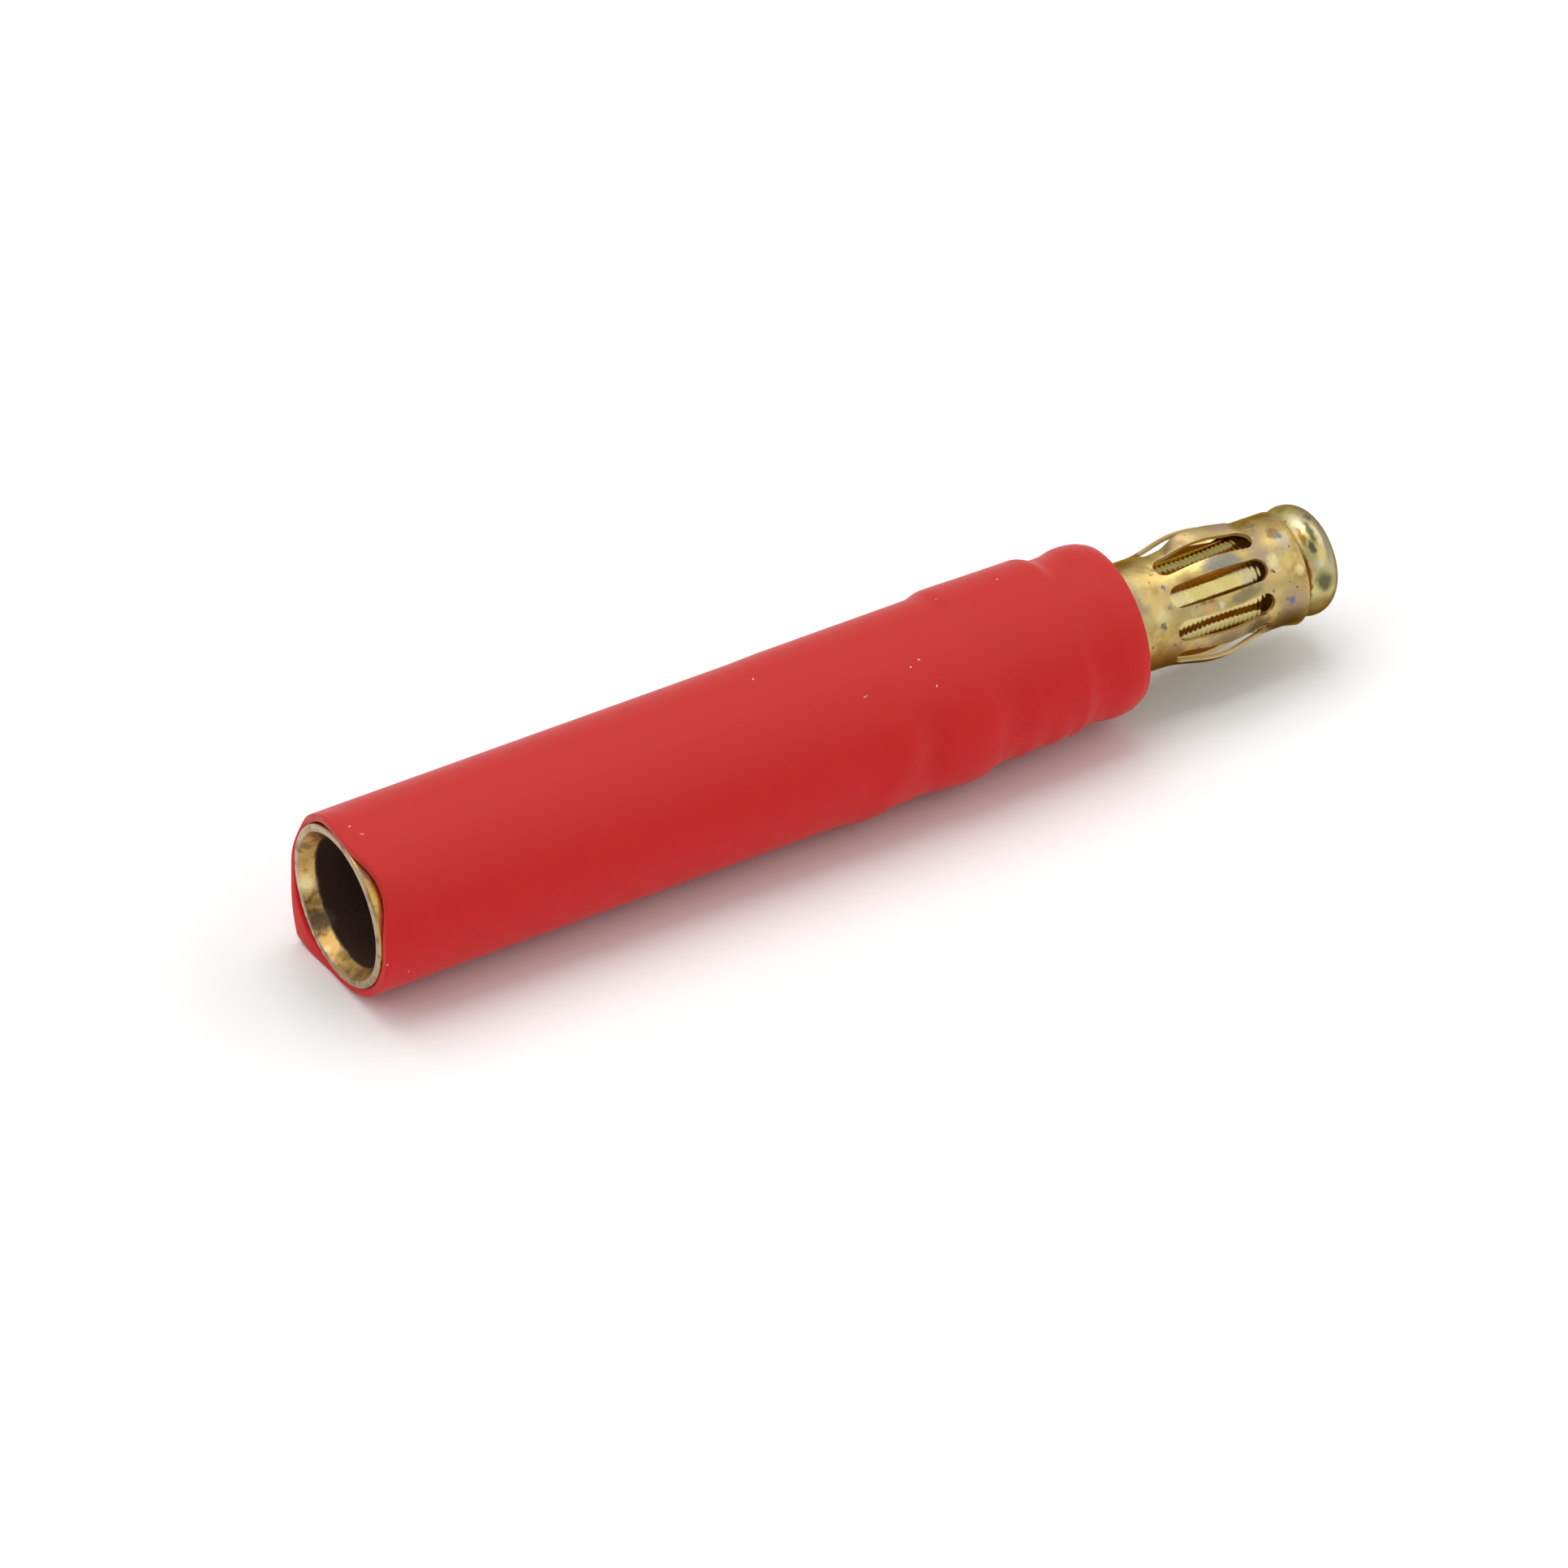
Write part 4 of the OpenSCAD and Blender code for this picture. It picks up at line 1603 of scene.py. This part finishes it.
    def thickness(self, x: np.ndarray, angle: np.ndarray) -> np.ndarray:
        """Shapes the wall.

        Args:
            x: station.
            angle: angle around the axis.
        Returns:
            The wall: thicker on the upper side behind the crimp, full in the mouth's fold, thin at the lip.
        """
        side = np.cos(np.radians(angle - self.bias_angle))
        beyond = x - self.tube.barrel_end
        behind = smooth((beyond + self.bias_lead + self.bias_lead * side) / self.blend + 0.5)
        over = self.past_shoulder(x)
        bias = (self.bias - self.bias_loss * over) * side
        crown = self.crown * hump(x, self.crown_x, self.crown_length) * self.crown_side.at(angle)
        thinned = smooth(beyond / self.thinning_length) - self.thinning_undone * over
        lip = self.lip * np.clip((x - self.end + self.lip_length) / self.lip_length, 0, 1) ** self.lip_power
        filling = self.fold_fill * self.back_fold(x, angle)
        return self.wall + filling + bias * behind + crown - self.thinning * thinned - lip

    def cut(self, x: np.ndarray, angle: np.ndarray) -> np.ndarray:
        """Station after the uneven cut at the mouth, whose tongues and nicks fade behind it."""
        uneven = self.cut_back + sum(length * side.at(angle) for length, side in self.tongues)
        return x + uneven * (1 - smooth(x / self.cut_fade))

    def path(self) -> list[tuple[float, float]]:
        """Runs along the outside, round the lip, back along the inside and round the mouth.

        Returns:
            The station and the share of the wall of each loop.
        """
        shaped, end = self.crimp.x - self.shaped_before, self.end
        # runs of loops: first station, last station and count, close together where the wall has a shape
        outside = ((0.07, 2.2, 34), (2.5, shaped, 26), (shaped + 0.08, end - 0.06, 120))
        inside = ((end - 0.1, shaped, 40), (15, 2.4, 8), (2.2, 0.04, 22))
        return [
            *((x, 1.0) for run in outside for x in np.linspace(*run)),
            *((end - back, share) for back, share in self.lip_rim),
            *((x, 0.0) for run in inside for x in np.linspace(*run)),
            *self.mouth_rim,
        ]

    def build(self) -> Mesh:
        """Makes the sleeve, flat where it rests on the surface below.

        Returns:
            The finished mesh, a closed wall.
        """
        angle = np.linspace(0, 360, self.around, endpoint=False)
        turn = np.radians(angle)
        loops = []
        for x, share in self.path():
            station = np.full(angle.shape, x)
            radius = self.inner(station, angle) + share * self.thickness(station, angle)
            floor = self.placement.axis_z - (1 - share) * self.wall
            height = np.maximum(-floor, radius * np.cos(turn))
            loops.append(np.stack([self.cut(station, angle), -radius * np.sin(turn), height], axis=1))
        skin = Skin()
        skin.loft(loops, closed=True)
        return skin.mesh("shrink_sleeve", self.placement)

    def show(self) -> None:
        """Builds the sleeve, dresses it in shrunk polyolefin and puts it in the scene."""
        finish = ShrunkPolyolefin("shrunk_polyolefin", self.placement, SLEEVE_MARKS)
        shown("sleeve_shrunk", self.build(), finish.material(), "shrink_sleeve")


# Studio


@dataclass(frozen=True)
class Softbox:
    """A square studio light that looks at the part's middle: its place and side in metres, and its power."""

    name: str
    place: tuple[float, float, float]
    side: float
    power: float

    def build(self) -> None:
        """Makes the light."""
        light = bpy.data.lights.new(self.name, "AREA")
        light.shape = "SQUARE"
        light.size = self.side
        light.energy = self.power
        lamp = bpy.data.objects.new(self.name, light)
        lamp.location = self.place
        lamp.rotation_euler = Vector(self.place).to_track_quat("Z", "Y").to_euler()
        bpy.context.scene.collection.objects.link(lamp)


@dataclass
class Studio:
    """Pale floor, soft lights and the camera."""

    placement: Placement
    azimuth: float = -30.72
    elevation: float = 37.56
    distance: float = 500.0
    nearest: float = 10.0
    lens: float = 394.3
    sensor: float = 36.0
    aim: tuple[float, float] = (14.95, -1.42)
    floor_half: float = 1500.0
    floor_gap: float = 0.01
    horizon: float = 0.54
    zenith: float = 0.5
    lights: tuple[Softbox, ...] = (
        Softbox("top_softbox", (0.0, 0.13, 0.48), 0.4, 1.33),
        Softbox("front_softbox", (0.3, -0.35, 0.35), 0.5, 0.55),
        Softbox("left_softbox", (-0.4, 0.05, 0.4), 0.4, 0.5),
        Softbox("right_softbox", (0.4, 0.05, 0.4), 0.4, 0.4),
    )

    def camera(self) -> None:
        """Makes the camera at the photo's angle."""
        data = bpy.data.cameras.new("camera")
        data.lens = self.lens
        data.sensor_width = self.sensor
        data.clip_start = self.nearest * MM
        camera = bpy.data.objects.new("camera", data)
        a, e = math.radians(self.azimuth), math.radians(self.elevation)
        back = Vector((math.sin(a) * math.cos(e), -math.cos(a) * math.cos(e), math.sin(e)))
        target = Vector((self.placement.mouth_x + self.aim[0], 0.0, self.placement.axis_z + self.aim[1])) * MM
        camera.location = target + back * self.distance * MM
        camera.rotation_euler = back.to_track_quat("Z", "Y").to_euler()
        bpy.context.scene.collection.objects.link(camera)
        bpy.context.scene.camera = camera

    def floor(self) -> None:
        """Makes the floor, a hair under the part."""
        half, low = self.floor_half * MM, -self.floor_gap * MM
        mesh = bpy.data.meshes.new("floor")
        corners = [(-half, -half, low), (half, -half, low), (half, half, low), (-half, half, low)]
        mesh.from_pydata(corners, [], [(0, 1, 2, 3)])
        mesh.materials.append(MatteCard("matte_card", self.placement).material())
        floor = bpy.data.objects.new("floor", mesh)
        bpy.context.scene.collection.objects.link(floor)

    def world(self) -> None:
        """Sets a nearly even white surround, as a light tent gives, a little dimmer towards the zenith."""
        world = bpy.data.worlds.new("surround")
        world.use_nodes = True
        tree = world.node_tree
        tree.nodes.clear()
        direction = add(tree, "ShaderNodeTexCoord").outputs["Generated"]
        height = add(tree, SPLIT, {0: direction}).outputs["Z"]
        limits = {"Value": height, "To Min": self.horizon, "To Max": self.zenith}
        glow = add(tree, RAMP, limits).outputs["Result"]
        light = add(tree, "ShaderNodeBackground", {"Color": linear("#FFFFFF"), "Strength": glow})
        add(tree, "ShaderNodeOutputWorld", {"Surface": light.outputs[0]})
        bpy.context.scene.world = world

    def build(self) -> None:
        """Sets the whole stage."""
        self.camera()
        self.floor()
        self.world()
        for light in self.lights:
            light.build()
        bpy.context.scene.view_settings.view_transform = "Standard"


# Marks, of which later ones lie over earlier ones

MOUTH_MARKS = (
    # round the chamfer from the top by the left to the bottom
    Mark(0.24, -42, 2.1, 0.55, StainOrPaintedLight.RUST, 0.9, fade=0.6, share=0.9),
    Mark(0.14, -68, 2.18, 0.24, StainOrPaintedLight.UMBER, 1.2, fade=0.7, share=0.7),
    Mark(0.18, -86, 2.16, 0.3, StainOrPaintedLight.BRONZE, 1.0, fade=0.9, share=0.5),
    # painted highlight on the chamfer
    Mark(0.16, -106, 2.16, 0.5, StainOrPaintedLight.STRAW, 0.9, fade=0.9, share=0.9),
    Mark(0.36, -122, 2.06, 0.2, StainOrPaintedLight.BRONZE, fade=0.7, share=0.7),
    Mark(0.25, -138, 2.12, 0.46, StainOrPaintedLight.UMBER, 1.2, fade=0.6, share=0.95),
    # painted highlight on the chamfer
    Mark(0.1, -160, 2.2, 0.18, StainOrPaintedLight.STRAW, fade=0.7, share=0.6),
    Mark(0.34, -172, 2.06, 0.3, StainOrPaintedLight.BRONZE, 0.8, fade=0.7, share=0.8),
    Mark(0.2, -204, 2.12, 0.3, StainOrPaintedLight.BRONZE, fade=0.6, share=0.8),
    # painted glints along the rim's outer edge
    *(Mark(0.02, angle, 2.48, 0.15, StainOrPaintedLight.PAINTED_GLINT, fade=0.7) for angle in (-122, -130, -144, -152, -160)),
)
CAGE_MARKS = (
    # broad marks first: brown on the lower side, which is painted shade where it looks down at the shadowed
    # floor, and rose film on the outer leaves and on the front ring's lower half
    Mark(26.9, 112, 1.69, 0.9, StainOrPaintedLight.RUST, 1.2, fade=0.7, share=0.8),
    Mark(27.0, -24, 1.75, 0.7, StainOrPaintedLight.BRONZE, 1.2, fade=0.8, share=0.25),
    Mark(29.5, -10, 2.0, 0.5, StainOrPaintedLight.ROSE, 3.4, fade=0.4, share=0.5),
    Mark(28.4, -9, 1.95, 0.45, StainOrPaintedLight.UMBER, 1.3, fade=0.8, share=0.8),
    Mark(29.6, 99, 1.93, 0.5, StainOrPaintedLight.ROSE, 2.6, fade=0.5, share=0.85),
    # painted shade: umber on the lower leaves, where they look down at the shadowed floor
    Mark(29.0, 100, 1.93, 0.4, StainOrPaintedLight.UMBER, 1.6, fade=0.8, share=0.45),
    Mark(30.2, 101, 1.88, 0.42, StainOrPaintedLight.UMBER, 1.6, fade=0.6, share=0.85),
    Mark(28.9, 134, 1.93, 0.6, StainOrPaintedLight.UMBER, 4.0, fade=0.4, share=0.8),
    Mark(31.4, 92, 1.68, 0.85, StainOrPaintedLight.ROSE, 0.9, fade=0.6, share=0.9),
    # painted shade: umber on the front ring's lower side
    Mark(31.3, 118, 1.68, 0.9, StainOrPaintedLight.UMBER, 1.2, fade=0.7, share=0.8),
    Mark(31.6, 22, 1.68, 0.5, StainOrPaintedLight.HAZE, 0.7, fade=0.7, share=0.7),
    Mark(31.0, 42, 1.7, 0.4, StainOrPaintedLight.STRAW, 0.7, fade=0.8, share=0.8),
    Mark(31.75, 58, 1.7, 0.3, StainOrPaintedLight.STRAW, 0.8, fade=0.8, share=0.8),
    Mark(27.0, 60, 1.7, 0.5, StainOrPaintedLight.STRAW, 0.8, fade=0.8, share=0.6),
    # the two leaves at the front
    Mark(28.05, 27, 1.87, 0.3, StainOrPaintedLight.BRONZE, 1.4, fade=0.6, share=0.55),
    Mark(29.4, 27, 1.95, 0.34, StainOrPaintedLight.STEEL, 2.7, fade=0.4, share=0.95),
    Mark(29.4, 28, 1.95, 0.16, StainOrPaintedLight.SMOKE, 2.4, fade=0.8, share=0.6),
    Mark(29.75, 63, 1.95, 0.32, StainOrPaintedLight.SMOKE, 2.6, fade=0.45, share=0.65),
    Mark(28.0, 62, 1.88, 0.3, StainOrPaintedLight.STRAW, 1.6, fade=0.9, share=0.8),
    Mark(28.4, 64, 1.9, 0.22, StainOrPaintedLight.COPPER, 2.0, fade=0.9, share=0.95),
    Mark(28.5, 56, 1.9, 0.14, StainOrPaintedLight.RUST, 2.6, fade=0.7, share=0.7),
    # painted glint on the leaf
    Mark(28.85, 64, 1.93, 0.22, StainOrPaintedLight.PAINTED_GLINT, 0.7, fade=0.8, share=0.9),
    # spots
    Mark(31.45, 12, 1.67, 0.25, StainOrPaintedLight.UMBER, 1.1, fade=0.4, share=0.65),
    Mark(31.55, 18, 1.68, 0.13, StainOrPaintedLight.BLUE, fade=0.7, share=0.8),
    Mark(27.41, 29, 1.7, 0.12, StainOrPaintedLight.BLUE, fade=0.6, share=0.9),
    Mark(27.36, 50, 1.7, 0.11, StainOrPaintedLight.STEEL, fade=0.6, share=0.9),
    Mark(27.0, 68, 1.69, 0.14, StainOrPaintedLight.SMOKE, fade=0.4, share=0.9),
    Mark(31.34, 88, 1.68, 0.2, StainOrPaintedLight.BLUE, 0.8, fade=0.7, share=0.9),
    Mark(31.2, 84, 1.68, 0.12, StainOrPaintedLight.SMOKE, fade=0.6, share=0.7),
    Mark(30.75, 70, 1.7, 0.12, StainOrPaintedLight.BLUE, fade=0.7, share=0.7),
    Mark(31.0, -9, 1.67, 0.13, StainOrPaintedLight.BLUE, 1.4, fade=0.7, share=0.7),
    Mark(31.75, -18, 1.67, 0.13, StainOrPaintedLight.SMOKE, fade=0.7, share=0.7),
    Mark(31.7, 32, 1.68, 0.06, StainOrPaintedLight.UMBER),
    Mark(30.88, 51, 1.7, 0.06, StainOrPaintedLight.UMBER),
    Mark(31.06, 69, 1.69, 0.06, StainOrPaintedLight.BLUE),
    Mark(31.31, 66, 1.69, 0.06, StainOrPaintedLight.BLUE),
    Mark(31.55, 74, 1.69, 0.05, StainOrPaintedLight.UMBER),
    Mark(27.04, 18, 1.68, 0.06, StainOrPaintedLight.UMBER),
    Mark(26.75, 40, 1.69, 0.05, StainOrPaintedLight.UMBER),
    Mark(28.1, 20, 1.86, 0.06, StainOrPaintedLight.SMOKE, 1.6),
)
HEAD_MARKS = (
    # the dome beyond the bead is hazed all round, in overlapping patches
    *(
        Mark(33.0, angle, 1.2, 1.15, StainOrPaintedLight.HAZE, 0.36, fade=0.4, share=0.85)
        for angle in (0, 60, 120, 200, 280)
    ),
    Mark(32.4, 115, 1.69, 0.8, StainOrPaintedLight.BRONZE, 1.0, fade=0.6, share=0.85),
    Mark(32.4, 14, 1.69, 0.5, StainOrPaintedLight.HAZE, 0.9, fade=0.6, share=0.7),
    Mark(32.04, 72, 1.54, 0.95, StainOrPaintedLight.RUST, 0.1, fade=0.5, share=0.95),
    Mark(32.2, 26, 1.62, 0.5, StainOrPaintedLight.RUST, 0.22, fade=0.7, share=0.85),
    Mark(32.28, 16, 1.65, 0.34, StainOrPaintedLight.STRAW, 0.2, fade=0.7, share=0.9),
    Mark(32.14, 60, 1.6, 0.2, StainOrPaintedLight.COPPER, 0.4, fade=0.8, share=0.8),
    # painted glints on the bead
    Mark(32.7, 34, 1.68, 0.6, StainOrPaintedLight.PAINTED_GLINT, 0.14, fade=0.7, share=0.7),
    Mark(32.35, 60, 1.7, 0.24, StainOrPaintedLight.PAINTED_GLINT, 1.1, fade=0.9, share=0.8),
    Mark(32.5, 26, 1.69, 0.62, StainOrPaintedLight.OLIVE, 0.2, fade=0.7, share=0.85),
    Mark(32.36, 42, 1.68, 0.3, StainOrPaintedLight.OLIVE, 0.45, fade=0.6, share=0.9),
    Mark(32.46, 80, 1.69, 0.5, StainOrPaintedLight.OLIVE, 0.85, fade=0.7, share=0.9),
    Mark(32.72, 8, 1.66, 0.2, StainOrPaintedLight.SMOKE, 0.8, fade=0.7, share=0.8),
    Mark(32.3, -20, 1.66, 0.3, StainOrPaintedLight.SMOKE, 0.7, fade=0.8, share=0.4),
)
SLEEVE_MARKS = (
    # lint: dots, then short fibres
    Mark(0.45, 2, 2.77, 0.05, StainOrPaintedLight.LINT),
    Mark(0.9, 111, 2.77, 0.05, StainOrPaintedLight.LINT),
    Mark(0.14, 96, 2.77, 0.045, StainOrPaintedLight.LINT),
    Mark(13.93, -1, 2.77, 0.05, StainOrPaintedLight.LINT),
    Mark(18.43, 30, 2.79, 0.045, StainOrPaintedLight.LINT),
    Mark(18.77, 27, 2.79, 0.045, StainOrPaintedLight.LINT),
    Mark(18.94, 46, 2.79, 0.045, StainOrPaintedLight.LINT),
    Mark(20.83, -5, 2.82, 0.05, StainOrPaintedLight.LINT),
    Mark(21.17, 0, 2.84, 0.045, StainOrPaintedLight.LINT),
    Mark(22.5, -10, 2.82, 0.045, StainOrPaintedLight.LINT),
    Mark(20.55, -13, 2.84, 0.035, StainOrPaintedLight.LINT, 5.0, share=0.35),
    Mark(20.95, -19, 2.85, 0.035, StainOrPaintedLight.LINT, 4.0, share=0.4),
    Mark(0.62, 10, 2.77, 0.03, StainOrPaintedLight.LINT, 4.0, share=0.8),
    Mark(16.65, 37, 2.78, 0.03, StainOrPaintedLight.LINT, 5.0, share=0.5),
)


def main() -> None:
    """Builds the pieces in order, then the stage."""
    logging.basicConfig(level=logging.INFO, format="%(name)s: %(message)s")
    placement = Placement.of_node("female_socket")
    LOG.info("axis at %.3f mm, mouth at %.3f mm", placement.axis_z, placement.mouth_x)
    crimp = Crimp()
    tube = SocketTube(placement, crimp)
    pin = PlugPin(placement, crimp)
    for piece in (tube, pin, SpringCage(placement), ShrinkSleeve(placement, crimp, tube, pin)):
        piece.show()
    Studio(placement).build()


if __name__ == "__main__":
    main()
